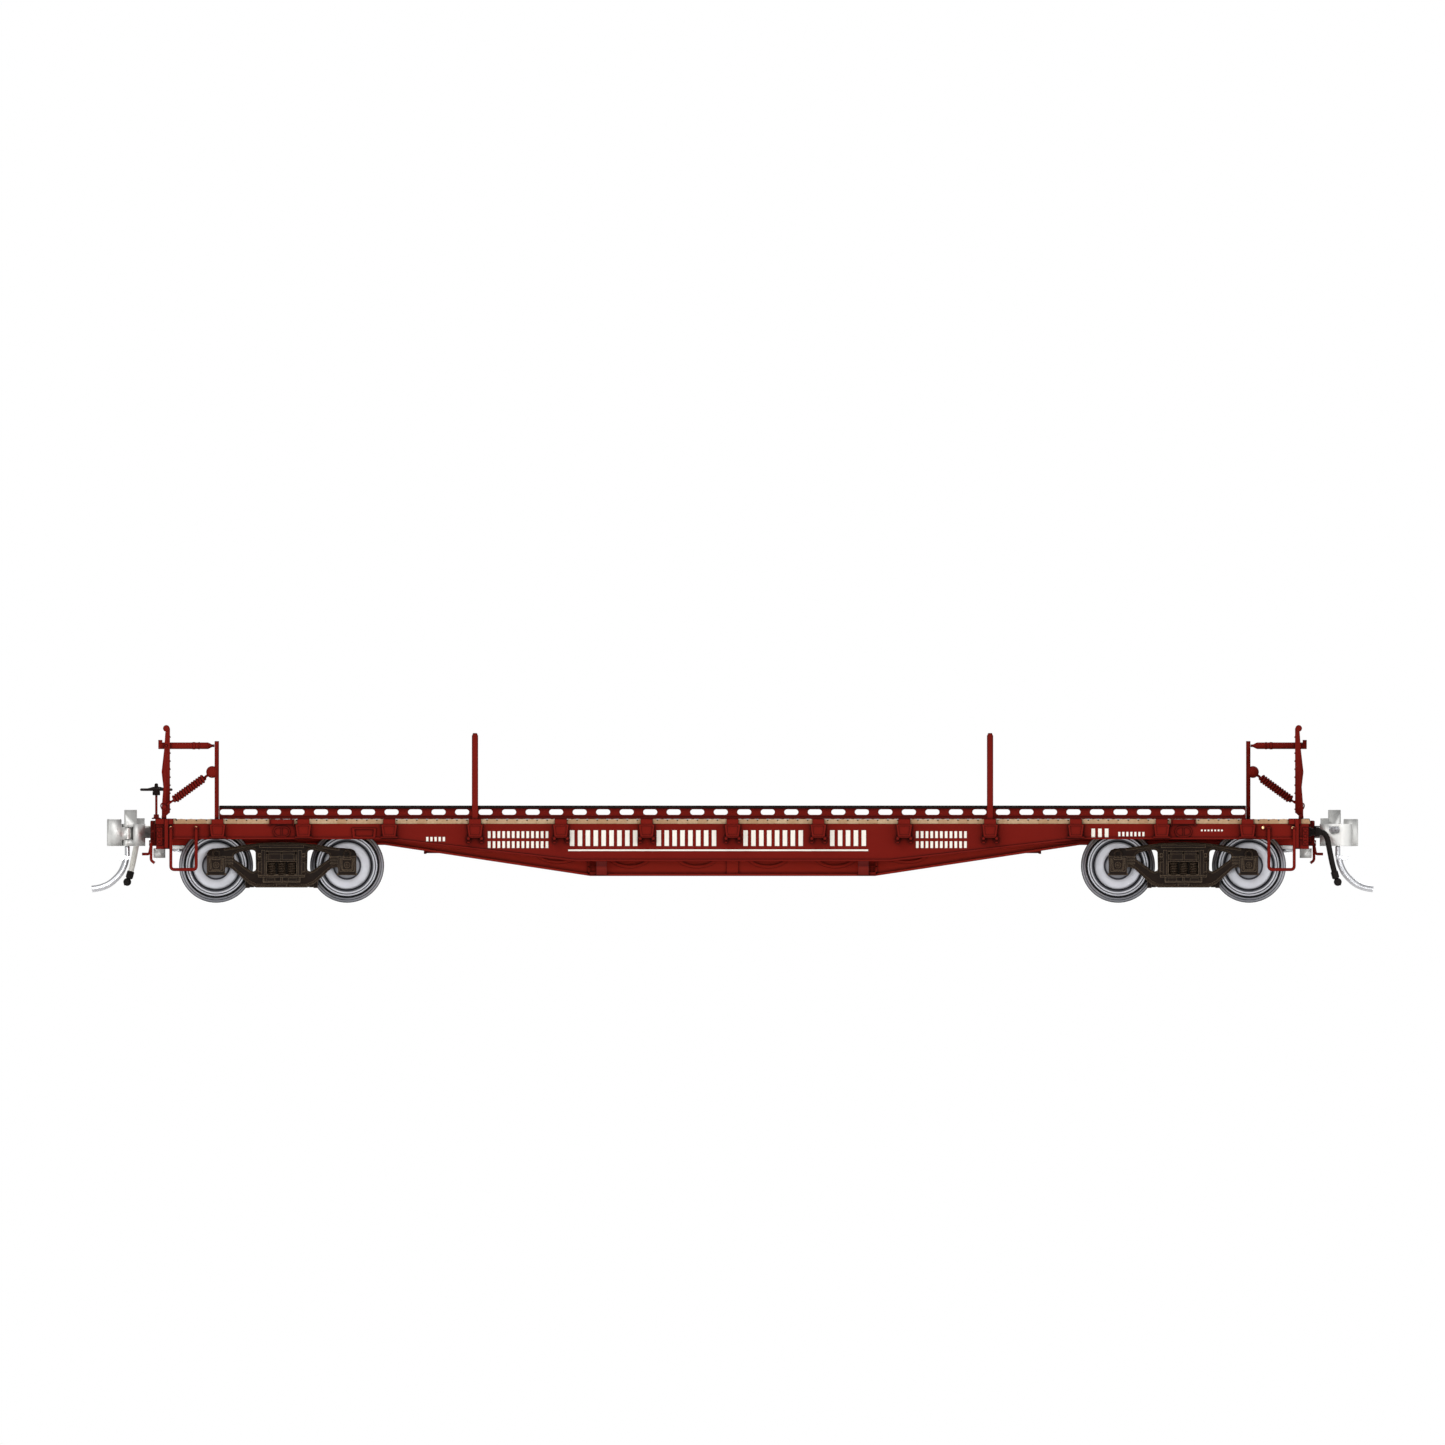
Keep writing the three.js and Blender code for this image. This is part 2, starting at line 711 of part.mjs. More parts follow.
function brakeWheel() {
  const hub = join([
    rod([staffX, staffY, wheelZ - 0.85], [staffX, staffY, wheelZ - 0.25], 0.57, 8),
    rod([staffX, staffY, wheelZ - 0.3], [staffX, staffY, wheelZ + 0.55], 0.42, 8, 0.3),
    rod([staffX, staffY, wheelZ + 0.5], [staffX, staffY, wheelZ + 0.95], 0.28, 6),
  ]);
  const rim = cut(rod([staffX, staffY, wheelZ - 0.2], [staffX, staffY, wheelZ + 0.2], 2.45, 16), [
    rod([staffX, staffY, wheelZ - 1], [staffX, staffY, wheelZ + 1], 2.05, 16),
  ]);
  const spokes = [];
  for (let i = 0; i < 5; i += 1) {
    const spoke = rod([0.3, 0, 0.15], [2.2, 0, 0], 0.16, 4);
    spokes.push(spoke.rotate([0, 0, 72 * i]).translate([staffX, staffY, wheelZ]));
  }
  const bore = rod([staffX, staffY, 0], [staffX, staffY, wheelZ + 0.3], staffRadius + 0.02, 8);
  return join([hub, rim, ...spokes]).subtract(bore);
}

addPart("brake_wheel", brakeWheel(), oxideRed, 0.5, 0);
const staff = rod([staffX, staffY, deckTop + 0.15], [staffX, staffY, wheelZ + 0.25], staffRadius, 8);
addPart("brake_staff", staff, oxideRed, 0.5, 0);

function brakeStand() {
  const solid = join([
    box([staffX - 0.7, staffX + 0.7], [staffY - 0.8, staffY + 0.8], [deckTop, deckTop + 0.2]),
    rod([staffX, staffY, deckTop], [staffX, staffY, deckTop + 0.7], 0.42, 8),
  ]);
  return solid.subtract(
    rod([staffX, staffY, deckTop + 0.1], [staffX, staffY, deckTop + 2], staffRadius + SLIP, 8),
  );
}

addPart("brake_stand", brakeStand(), oxideRed, 0.6, 0);

// ---------------------------------------------------------------- air brake gear under the floor

const gearTop = deckBottom - 1.9;

function brakeCylinder() {
  const z = gearTop - 1.75;
  return join([
    rod([-6.5, 7.4, z], [-1.2, 7.4, z], 1.5, 12),
    rod([-1.3, 7.4, z], [-0.8, 7.4, z], 1.75, 12),
    rod([-0.9, 7.4, z], [1.6, 7.4, z], 0.3, 6),
    box([-6.9, -6.1], [6.6, 8.2], [z - 0.5, gearTop]),
    box([-1.35, -0.8], [6.6, 8.2], [z, gearTop - 0.05]),
  ]);
}

function airReservoir() {
  const z = gearTop - 1.6;
  return join([
    rod([-6.9, -8, z], [6.9, -8, z], 1.4, 12),
    box([-6.9, -6.1], [-8.8, -7.2], [z, gearTop]),
    box([6.1, 6.9], [-8.8, -7.2], [z, gearTop]),
  ]);
}

function controlValve() {
  const z = gearTop - 1.3;
  return join([
    box([5.6, 7.4], [8, 10.4], [gearTop - 0.3, gearTop]),
    box([5.8, 7.2], [8.2, 10.2], [z - 0.9, gearTop - 0.2]),
    rod([6.5, 9.2, z - 1.6], [6.5, 9.2, z - 0.8], 0.6, 8),
    rod([5.2, 9.2, z], [7.8, 9.2, z], 0.55, 8),
  ]);
}

function brakeRods() {
  const y = 4.9;
  const z = deckBottom - 4.2;
  const end = (x) => box([x - 0.2, x + 0.2], [y - 0.3, y + 0.3], [z - 0.3, gearTop]);
  return join([
    rod([-46, y, z], [46, y, z], 0.2, 6),
    rod([2, y, z], [2, 8.4, z + 0.55], 0.25, 6),
    end(-46),
    end(46),
  ]);
}

addPart("brake_cylinder", brakeCylinder(), oxideRed, 0.6, 0);
addPart("air_reservoir", airReservoir(), oxideRed, 0.6, 0);
addPart("control_valve", controlValve(), oxideRed, 0.6, 0);
addPart("brake_rods", brakeRods(), oxideRed, 0.6, 0);

// ---------------------------------------------------------------- couplers

const headX = -endX - 1.45;
const knuckleX = headX - 2.7;
const knuckleY = -1.1;
const pinHole = 0.36;

function draftLid() {
  const face = -endX + 0.15;
  return join([
    box([face, face + 7], [-draftHalf, draftHalf], [lidBottom, lidBottom + 0.56 - 0.02]),
    box([face + 0.05, face + 6.2], [-pocketHalf + FIT, pocketHalf - FIT], [lidBottom + 0.3, lidTop]),
    rod([-pivotX, 0, lidTop - 0.1], [-pivotX, 0, draftRoof - 0.02], 0.9, 10),
    box([face - 0.4, face + 1.4], [-1.2, 1.2], [lidBottom - 1.34, lidBottom + 0.1]),
  ]);
}

addPart("draft_lid_left", draftLid(), blackened, 0.6, 0);
addPart("draft_lid_right", turned(draftLid()), blackened, 0.6, 0);

function couplerBody() {
  const shankZ = [couplerZ - shankThickness / 2, couplerZ + shankThickness / 2];
  const half = shankWidth / 2;
  const low = couplerZ - 1.98;
  const high = couplerZ + 1.33;
  const head = [
    [headX, -1.1],
    [headX, 1.1],
    [headX - 1, 1.9],
    [headX - 3.2, 2.0],
    [headX - 4.9, 2.4],
    [headX - 4.9, 1.7],
    [headX - 2.9, 1.1],
    [headX - 2.2, 0.2],
    [headX - 1.75, -1.9],
    [headX - 0.9, -1.9],
  ];
  const lug = (z) =>
    join([
      rod([knuckleX, knuckleY, z[0]], [knuckleX, knuckleY, z[1]], 0.78, 8),
      box([knuckleX, headX - 1], [-1.85, -0.35], z),
    ]);
  const solid = join([
    rod([-pivotX, 0, shankZ[0]], [-pivotX, 0, shankZ[1]], 1.6, 10),
    box([headX - 0.4, -pivotX], [-half, half], shankZ),
    plateZ(head, [low, high]),
    lug([low, couplerZ - 1.05]),
    lug([couplerZ + 0.85, high]),
    box([headX - 3.15, headX - 1.25], [-1.85, -0.35], [high - 0.1, couplerZ + 3.43]),
    box([headX - 1.3, headX - 0.1], [-1, 1], [high - 0.1, couplerZ + 2.17]),
  ]);
  return cut(solid, [
    rod([-pivotX, 0, 0], [-pivotX, 0, 20], 1, 10),
    rod([knuckleX, knuckleY, low - 1], [knuckleX, knuckleY, high - 0.15], pinHole, 8),
  ]);
}

addPart("coupler_left", couplerBody(), blackened, 0.5, 1);
addPart("coupler_right", turned(couplerBody()), blackened, 0.5, 1);

function knuckle() {
  const hub = [couplerZ - 1.05 + SLIP, couplerZ + 0.85 - SLIP];
  const face = headX - 5.74;
  const back = knuckleX - 0.86;
  const nose = [
    [back, -1.75],
    [back, 0.1],
    [face + 1.1, 0.75],
    [face + 0.2, 0.75],
    [face, 0.5],
    [face, -1.2],
    [face + 0.45, -1.75],
  ];
  const neck = [
    [knuckleX, -1.75],
    [knuckleX, -0.42],
    [back - 0.1, -0.3],
    [back - 0.1, -1.75],
  ];
  const solid = join([
    plateZ(nose, [couplerZ - 2.0, couplerZ + 2.05]),
    plateZ(neck, hub),
    rod([knuckleX, knuckleY, hub[0]], [knuckleX, knuckleY, hub[1]], 0.68, 10),
  ]);
  return solid.subtract(rod([knuckleX, knuckleY, 0], [knuckleX, knuckleY, 20], 0.3 + SLIP, 8));
}

addPart("knuckle_left", knuckle(), blackened, 0.5, 1);
addPart("knuckle_right", turned(knuckle()), blackened, 0.5, 1);

const tripReach = endX + 9.45;
const tripZ = 2.05;

function tripPin() {
  const foot = couplerZ - 3.4;
  const at = (x, z) => [x, knuckleY, z];
  return join([
    rod(at(knuckleX, couplerZ - 2.1), at(knuckleX, couplerZ + 1.1), 0.3, 8),
    rod(at(knuckleX, foot - 0.2), at(knuckleX, couplerZ - 2.02), 0.38, 8),
    box([knuckleX - 1.6, knuckleX + 0.3], [knuckleY - 0.45, knuckleY + 0.45], [foot - 0.7, foot]),
    wire(
      [
        at(knuckleX - 0.15, foot - 0.4),
        at(knuckleX - 0.75, foot - 2.2),
        at(knuckleX - 2.4, foot - 4.2),
        at(-tripReach, tripZ),
      ],
      0.5,
      7,
      8,
    ),
  ]);
}

addPart("trip_pin_left", tripPin(), steelGrey, 0.4, 1);
addPart("trip_pin_right", turned(tripPin()), steelGrey, 0.4, 1);

// ---------------------------------------------------------------- cut levers, air hoses, steps

function cutLever() {
  const handleY = -15.2;
  const armY = -2.9;
  return join([
    bentRod(
      [
        [leverX - 1.4, armY, leverZ - 1.65],
        [leverX - 0.3, armY, leverZ - 1.65],
        [leverX, armY, leverZ],
        [leverX, handleY, leverZ],
        [leverX - 0.05, handleY, leverZ - 2.6],
        [leverX + 0.5, handleY, leverZ - 3.0],
      ],
      0.21,
    ),
  ]);
}

addPart("cut_lever_left", cutLever(), oxideRed, 0.5, 0);
addPart("cut_lever_right", turned(cutLever()), oxideRed, 0.5, 0);

function airHose() {
  const y = 4.5;
  const face = -endX + 0.15;
  const z = deckBottom - 1.2;
  return join([
    rod([face, y, z], [face - 1.9, y, z], 0.72, 8),
    rod([face - 0.9, y, z + 0.3], [face - 0.9, y, z + 0.9], 0.3, 4),
    wire(
      [
        [face - 1.5, y, z],
        [face - 2.6, y, z - 0.6],
        [face - 3.1, y, z - 2.6],
        [face - 3.95, y, z - 6.6],
      ],
      0.42,
      7,
      6,
    ),
    rod([face - 3.75, y, z - 5.9], [face - 4.05, y, z - 7.0], 0.55, 6),
    ball([face - 4.3, y, z - 7.5], 0.6, 6, 4),
  ]);
}

addPart("air_hose_left", airHose(), rubberBlack, 0.7, 0);
addPart("air_hose_right", turned(airHose()), rubberBlack, 0.7, 0);

function step() {
  const y = sillOuter + 0.15 + 0.24;
  const inner = -endX + 6.17;
  const outer = -endX + 2.37;
  const bottom = deckBottom - 6.84;
  const top = deckBottom - 0.45;
  const foot = (x) => box([x - 0.25, x + 0.25], [sillOuter, y + 0.1], [top - 0.55, top]);
  return join([
    bentRod(
      [
        [inner, y, top - 0.3],
        [inner, y, bottom],
        [outer, y, bottom],
        [outer, y, top - 0.3],
      ],
      0.22,
    ),
    foot(inner),
    foot(outer),
  ]);
}

addPart("step_left_far", step(), oxideRed, 0.6, 0);
addPart("step_left_near", acrossCar(step()), oxideRed, 0.6, 0);
addPart("step_right_far", alongCar(step()), oxideRed, 0.6, 0);
addPart("step_right_near", turned(step()), oxideRed, 0.6, 0);

// ---------------------------------------------------------------- trucks

const halfSpacing = axleSpacing / 2;
const journalBore = 0.68;

// Outline of one half of a side frame, from the middle of the top outwards and back under it.
function frameOutline() {
  const half = [
    [0, 3.52],
    [3.2, 3.38],
    [6.6, 2.95],
    [halfSpacing + 0.9, 2.55],
    [halfSpacing + 1.4, 1.9],
    [halfSpacing + 1.4, -1.0],
    [halfSpacing + 0.9, -1.4],
    [halfSpacing - 0.9, -1.4],
    [halfSpacing - 1.5, -0.2],
    [7.4, -0.35],
    [4.6, -2.9],
    [3.8, -3.27],
  ];
  const mirrored = half.slice(1).map(([x, z]) => [-x, z]);
  return [...half, ...mirrored.reverse()].map(([x, z]) => [x, z + axleZ]);
}

function frameWindow(side) {
  return [
    [3.55, 2.1],
    [4.0, 2.5],
    [6.4, 2.2],
    [7.3, 1.55],
    [7.2, 0.95],
    [4.3, -1.05],
    [3.7, -0.9],
  ].map(([x, z]) => [side * x, z + axleZ]);
}

function sideFrame() {
  const seat = 2.35;
  const springSeat = axleZ - 1.4;
  const opening = [
    [-seat, springSeat],
    [seat, springSeat],
    [seat, axleZ + 2.55],
    [-seat, axleZ + 2.55],
  ];
  const y = [frameInner, frameOuter];
  const solid = plateY(frameOutline(), y, [opening, frameWindow(1), frameWindow(-1)]);
  const pieces = [solid];
  [-1, 1].forEach((side) => {
    const x = side * halfSpacing;
    pieces.push(box([x - 1.35, x + 1.35], [frameInner, frameOuter + 0.75], [axleZ - 1.42, axleZ + 1.3]));
    pieces.push(rod([x, frameOuter, axleZ + 1.25], [x, frameOuter + 0.6, axleZ + 1.25], 0.55, 6));
  });
  [-1.5, 0, 1.5].forEach((x) => {
    const middle = (frameInner + frameOuter) / 2;
    pieces.push(rod([x, middle, springSeat - 0.1], [x, middle, springSeat + 1.9], 0.62, 6));
  });
  const rib = [
    [-4.4, axleZ - 3.2],
    [4.4, axleZ - 3.2],
    [4.4, axleZ - 2.9],
    [-4.4, axleZ - 2.9],
  ];
  pieces.push(plateY(rib, [frameOuter - 0.1, frameOuter + 0.3]));
  const bore = (x) =>
    rod([x, frameInner - 1, axleZ], [x, frameOuter + 0.45, axleZ], journalBore, 6);
  return cut(join(pieces), [bore(-halfSpacing), bore(halfSpacing)]);
}

function truckBolster() {
  const end = wheelBack - 1.6;
  const top = bearingZ - 0.04;
  const arm = axleZ + 2.4;
  const seat = axleZ + 0.6;
  const reach = frameOuter + 0.35;
  const outline = [
    [-reach, seat],
    [reach, seat],
    [reach, arm],
    [end, arm + 0.25],
    [-end, arm + 0.25],
    [-reach, arm],
  ];
  const strut = (side, y) =>
    plateY(
      [
        [side * 1.2, seat + 0.1],
        [side * 1.8, seat + 0.6],
        [side * 4.6, axleZ - 2.7],
        [side * 4.2, axleZ - 3.1],
      ],
      [y - 0.3, y + 0.3],
    );
  const pieces = [
    plateX(outline, [-1.8, 1.8]),
    rod([0, 0, arm], [0, 0, top], 2.6, 12),
  ];
  [-1, 1].forEach((side) => {
    const beamX = side > 0 ? [4.1, 4.6] : [-4.6, -4.1];
    const shoeX = side > 0 ? [4.2, 5.1] : [-5.1, -4.2];
    pieces.push(box(beamX, [-wheelFront + 0.2, wheelFront - 0.2], [axleZ - 3.25, axleZ - 2.65]));
    [-2.6, 2.6].forEach((y) => pieces.push(strut(side, y)));
    [-1, 1].forEach((hand) => {
      const y = [wheelBack + 1.15, wheelFront - 0.15].map((v) => v * hand);
      pieces.push(box(shoeX, [Math.min(...y), Math.max(...y)], [axleZ - 3.25, axleZ - 2.45]));
    });
  });
  return join(pieces).subtract(rod([0, 0, 0], [0, 0, 20], 1.1, 10));
}

function kingScrew() {
  const under = axleZ + 0.6 - SLIP;
  const slot = box([-0.2, 0.2], [-2, 2], [under - 0.8, under - 0.45]);
  return join([
    rod([0, 0, under - 0.1], [0, 0, deckBottom - 0.6], 0.95, 10),
    rod([0, 0, under - 0.75], [0, 0, under], 1.9, 12),
  ]).subtract(slot);
}

// Half of a wheel's section: radius, then distance out from the back of the wheel.
const wheelProfile = [
  [axleRadius, 2.6],
  [1.89, 2.6],
  [2.1, 2.15],
  [3.52, 2.15],
  [3.9, 2.7],
  [4.76, 2.7],
  [treadRadius, 0.95],
  [flangeRadius, 0.42],
  [5.4, 0.08],
  [3.9, 0],
];

function wheelSolid(bore) {
  const scale = wheelWidth / 2.7;
  const points = wheelProfile.map(([r, w], i) => {
    const radius = i === 0 ? bore : r;
    return new THREE.Vector2(radius, wheelBack + w * scale);
  });
  points.push(new THREE.Vector2(bore, wheelBack));
  points.push(points[0].clone());
  return toSolid(new THREE.LatheGeometry(points, 16)).translate([0, 0, axleZ]);
}

function axle() {
  const point = frameOuter + 0.3;
  const at = (y) => [0, y, axleZ];
  return join([
    rod(at(-wheelFront - 0.05), at(wheelFront + 0.05), axleRadius - 0.02, 8),
    rod(at(-frameInner - 0.7), at(frameInner + 0.7), 0.5, 8),
    rod(at(frameInner + 0.65), at(point), 0.5, 8, 0.1),
    rod(at(-frameInner - 0.65), at(-point), 0.5, 8, 0.1),
  ]);
}

function addTruck(label, x) {
  const place = (solid) => solid.translate([x, 0, 0]);
  addPart(`side_frame_${label}_far`, place(sideFrame()), truckBrown, 0.7, 0);
  addPart(`side_frame_${label}_near`, place(acrossCar(sideFrame())), truckBrown, 0.7, 0);
  addPart(`truck_bolster_${label}`, place(truckBolster()), truckBrown, 0.7, 0);
  addPart(`king_screw_${label}`, place(kingScrew()), steelGrey, 0.4, 1);
  [-1, 1].forEach((side) => {
    const end = side < 0 ? "a" : "b";
    const move = (solid) => place(solid.translate([side * halfSpacing, 0, 0]));
    const fixed = acrossCar(wheelSolid(axleRadius - 0.1)).add(axle());
    addPart(`wheel_and_axle_${label}_${end}`, move(fixed), steelGrey, 0.4, 1);
    addPart(`insulated_wheel_${label}_${end}`, move(wheelSolid(axleRadius)), steelGrey, 0.4, 1);
  });
}

addTruck("left", -truckX);
addTruck("right", truckX);

export default group;
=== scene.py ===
# %% [markdown]
# # A flat car that carries road trailers, in HO scale
# This notebook dresses a finished assembly: the solids already fix every size, joint and place.
# Each cell makes one kind of piece the way a model maker would, and lays it exactly where its solid lies.

# %% Load the assembly
import json
import math
import random
import bmesh
import bpy
from mathutils import Matrix, Vector

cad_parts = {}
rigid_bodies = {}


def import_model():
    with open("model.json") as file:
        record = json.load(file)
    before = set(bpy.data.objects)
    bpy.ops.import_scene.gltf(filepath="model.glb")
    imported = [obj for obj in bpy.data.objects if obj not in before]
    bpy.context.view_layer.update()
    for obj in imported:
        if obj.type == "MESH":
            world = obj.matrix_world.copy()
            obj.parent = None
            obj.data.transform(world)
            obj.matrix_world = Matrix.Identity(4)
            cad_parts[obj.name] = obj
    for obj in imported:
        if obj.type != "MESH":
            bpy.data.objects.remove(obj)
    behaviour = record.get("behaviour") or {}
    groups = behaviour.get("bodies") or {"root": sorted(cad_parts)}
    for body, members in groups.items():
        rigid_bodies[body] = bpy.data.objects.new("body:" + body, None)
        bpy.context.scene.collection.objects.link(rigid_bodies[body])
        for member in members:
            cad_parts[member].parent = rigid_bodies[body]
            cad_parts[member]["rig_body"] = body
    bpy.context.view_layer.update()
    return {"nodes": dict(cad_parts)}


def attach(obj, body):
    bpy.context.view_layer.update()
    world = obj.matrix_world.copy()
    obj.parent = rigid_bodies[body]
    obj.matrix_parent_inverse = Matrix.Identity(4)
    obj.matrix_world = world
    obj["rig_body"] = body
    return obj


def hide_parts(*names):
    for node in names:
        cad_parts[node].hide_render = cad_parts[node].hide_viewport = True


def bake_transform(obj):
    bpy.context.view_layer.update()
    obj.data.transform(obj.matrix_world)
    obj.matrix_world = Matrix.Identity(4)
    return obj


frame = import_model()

# %% [markdown]
# ## Millimetres
# The assembly is in metres, but a model this small is drawn in millimetres.
# Pieces are drawn in millimetres and shrunk once, when they are finished.

# %% The sizes that the pieces share
MM = 0.001
FLANGE_RADIUS = 5.55
AXLE_Z = FLANGE_RADIUS
DECK_BOTTOM = 11.81
DECK_TOP = 12.53
END_X = 86.45
DECK_HALF = 16.1
SILL_FACE = 16.15
POCKET_FACE = 17.7
POCKET_PITCH = 12.85
TRUCK_X = 67.5
AXLE_X = 9.8
WHEEL_BACK = 7.2
UP = Vector((0, 0, 1))
HALF_TURN = Matrix.Rotation(math.pi, 4, "Z")
ENDS = {"left": Matrix.Identity(4), "right": HALF_TURN}
draw = random.Random(7)
print("deck from", -END_X, "to", END_X)

# %% [markdown]
# ## The camera
# A model maker's drawing shows a car squarely from the side, with no perspective.
# An orthographic camera does that: every upright stays upright and both ends are the same size.

# %% Camera
SHOWN_WIDTH = 216.3
lens = bpy.data.cameras.new("side_camera")
lens.type = "ORTHO"
lens.ortho_scale = SHOWN_WIDTH * MM
lens.clip_end = 5
camera = bpy.data.objects.new("side_camera", lens)
camera.location = Vector((-1.5, -600, 26.98)) * MM
camera.rotation_euler = (math.radians(90), 0, 0)
scene = bpy.context.scene
scene.collection.objects.link(camera)
scene.camera = camera
scene.view_settings.view_transform = "Standard"
print("camera sees", SHOWN_WIDTH, "mm across")

# %% [markdown]
# ## Colours and shader nodes
# Colours are picked as sRGB hex values, the way paint charts give them.
# Shaders work on linear light, so one function turns each value to linear.
# One more adds a node, sets it up and wires it, which keeps each material short.
# Two recipes are shared by several finishes: finding the edges, and joining the result to the shader.

# %% Colour and node helpers
def linear(hex_colour):
    shares = [int(hex_colour[i : i + 2], 16) / 255 for i in (1, 3, 5)]
    return [s / 12.92 if s <= 0.04045 else ((s + 0.055) / 1.055) ** 2.4 for s in shares] + [1.0]


def add(tree, kind, inputs, **settings):
    node = tree.nodes.new(kind)
    for key, value in settings.items():
        setattr(node, key, value)
    for key, value in inputs.items():
        if isinstance(value, bpy.types.NodeSocket):
            tree.links.new(value, node.inputs[key])
        else:
            node.inputs[key].default_value = value
    return node


MATTE_SPECULAR = 0.08


def finish_named(name, roughness, metallic=0.0):
    made = bpy.data.materials.new(name)
    made.use_nodes = True
    shader = made.node_tree.nodes["Principled BSDF"]
    shader.inputs["Roughness"].default_value = roughness
    shader.inputs["Metallic"].default_value = metallic
    if metallic == 0:
        shader.inputs["Specular IOR Level"].default_value = MATTE_SPECULAR
    return made, made.node_tree, shader


def per_metre(size_mm):
    return 1 / (size_mm * MM)


def edge_share(tree, width_mm, span, most):
    """How much each point lies on an edge: a true normal is compared with one softened over the width."""
    soft = add(tree, "ShaderNodeBevel", {"Radius": width_mm * MM}, samples=6)
    true = add(tree, "ShaderNodeNewGeometry", {})
    match = add(tree, "ShaderNodeVectorMath", {0: soft.outputs["Normal"], 1: true.outputs["Normal"]},
                operation="DOT_PRODUCT").outputs["Value"]
    return add(tree, "ShaderNodeMapRange",
               {"Value": match, "From Min": span[0], "From Max": span[1], "To Min": 0.0, "To Max": most})


def wire_up(tree, shader, colour, roughness, normal):
    """Join a finished colour, roughness and bump to the shader."""
    for socket, source in (("Base Color", colour), ("Roughness", roughness), ("Normal", normal)):
        if source:
            tree.links.new(source, shader.inputs[socket])


print("linear mid grey", [round(v, 3) for v in linear("#808080")[:3]])

# %% [markdown]
# ## The studio
# A small model is lit like a product: one large soft key above and to the left of the camera, a weaker fill
# from the right, a rim light from behind, and pale light from all round that keeps the shadows open. A low
# lamp in front reaches in under the sills, where the deep middle of the frame would be lost in shadow. The
# card it stands on is matte and nearly white, with a faint glow that keeps its edge out of sight. Its
# underside lets the eye through, so that the gear below the floor can be looked at as well.

# %% Card, lamps and surroundings
CARD_RADIUS = 1500
CARD_GLOW = 0.12
CARD_DROP = 0.01
card_mesh = bmesh.new()
bmesh.ops.create_circle(card_mesh, cap_ends=True, segments=96, radius=CARD_RADIUS * MM)
card_data = bpy.data.meshes.new("white_card")
card_mesh.to_mesh(card_data)
card_mesh.free()
card_finish, tree, shader = finish_named("card_white_matte", 0.9)
shader.inputs["Base Color"].default_value = linear("#fdfdfc")
shader.inputs["Emission Color"].default_value = linear("#ffffff")
shader.inputs["Emission Strength"].default_value = CARD_GLOW
from_below = add(tree, "ShaderNodeNewGeometry", {}).outputs["Backfacing"]
clear = add(tree, "ShaderNodeBsdfTransparent", {})
seen = add(tree, "ShaderNodeMixShader", {0: from_below, 1: shader.outputs["BSDF"],
                                         2: clear.outputs["BSDF"]})
tree.links.new(seen.outputs["Shader"], tree.nodes["Material Output"].inputs["Surface"])
card_data.materials.append(card_finish)
card = bpy.data.objects.new("white_card", card_data)
card.location.z = -CARD_DROP * MM
scene.collection.objects.link(card)

AIMED_AT = Vector((0, 0, 12))
ROOM_LIGHT = 0.45
LAMPS = [
    ("key", (-260, -430, 420), 420, 1.35),
    ("fill", (380, -420, 160), 380, 0.6),
    ("rim", (120, 420, 380), 380, 1.5),
    ("low_front", (-20, -460, -25), 160, 1.35),
]
for name, spot, size, watts in LAMPS:
    lamp = bpy.data.lights.new(name, "AREA")
    lamp.size = size * MM
    lamp.energy = watts
    holder = bpy.data.objects.new(name, lamp)
    holder.location = Vector(spot) * MM
    holder.rotation_euler = (AIMED_AT - Vector(spot)).to_track_quat("-Z", "Y").to_euler()
    scene.collection.objects.link(holder)
around = bpy.data.worlds.new("pale_room")
around.use_nodes = True
tree = around.node_tree
room = tree.nodes["Background"]
room.inputs["Color"].default_value = linear("#ffffff")
room.inputs["Strength"].default_value = ROOM_LIGHT
paper = add(tree, "ShaderNodeBackground", {"Color": linear("#ffffff"), "Strength": 1.0})
looked_at = add(tree, "ShaderNodeLightPath", {}).outputs["Is Camera Ray"]
both = add(tree, "ShaderNodeMixShader", {0: looked_at, 1: room.outputs["Background"],
                                         2: paper.outputs["Background"]})
tree.links.new(both.outputs["Shader"], tree.nodes["World Output"].inputs["Surface"])
scene.world = around
print("lamps:", [lamp[0] for lamp in LAMPS])

# %% [markdown]
# ## Airbrushed paint over moulded plastic
# A painted model is flat, not glossy: airbrushed enamel leaves a fine tooth about a tenth of a millimetre
# across. Painted shade darkens the corners, so that rivets and seams read at this small size. It follows
# ambient occlusion, which knows where two surfaces meet, so it needs no painted map. A fine dark line of
# painted shade along every edge and crease comes from comparing each normal with a softened one. The
# tooth is drawn three times too coarse, because the real one would be too fine to see on a whole car. The
# middle of the frame is painted a paler red, as painted light, so that the shadow under the sills doesn't
# swallow it. The mask is only the distance from the centre line, which the object coordinate gives
# directly.

# %% Oxide red and black paints
PAINT_TOOTH_MM = 0.3
SPRAY_DRIFT_MM = 9.0
SHADE_REACH_MM = 0.6
LINE_WIDTH_MM = 0.17


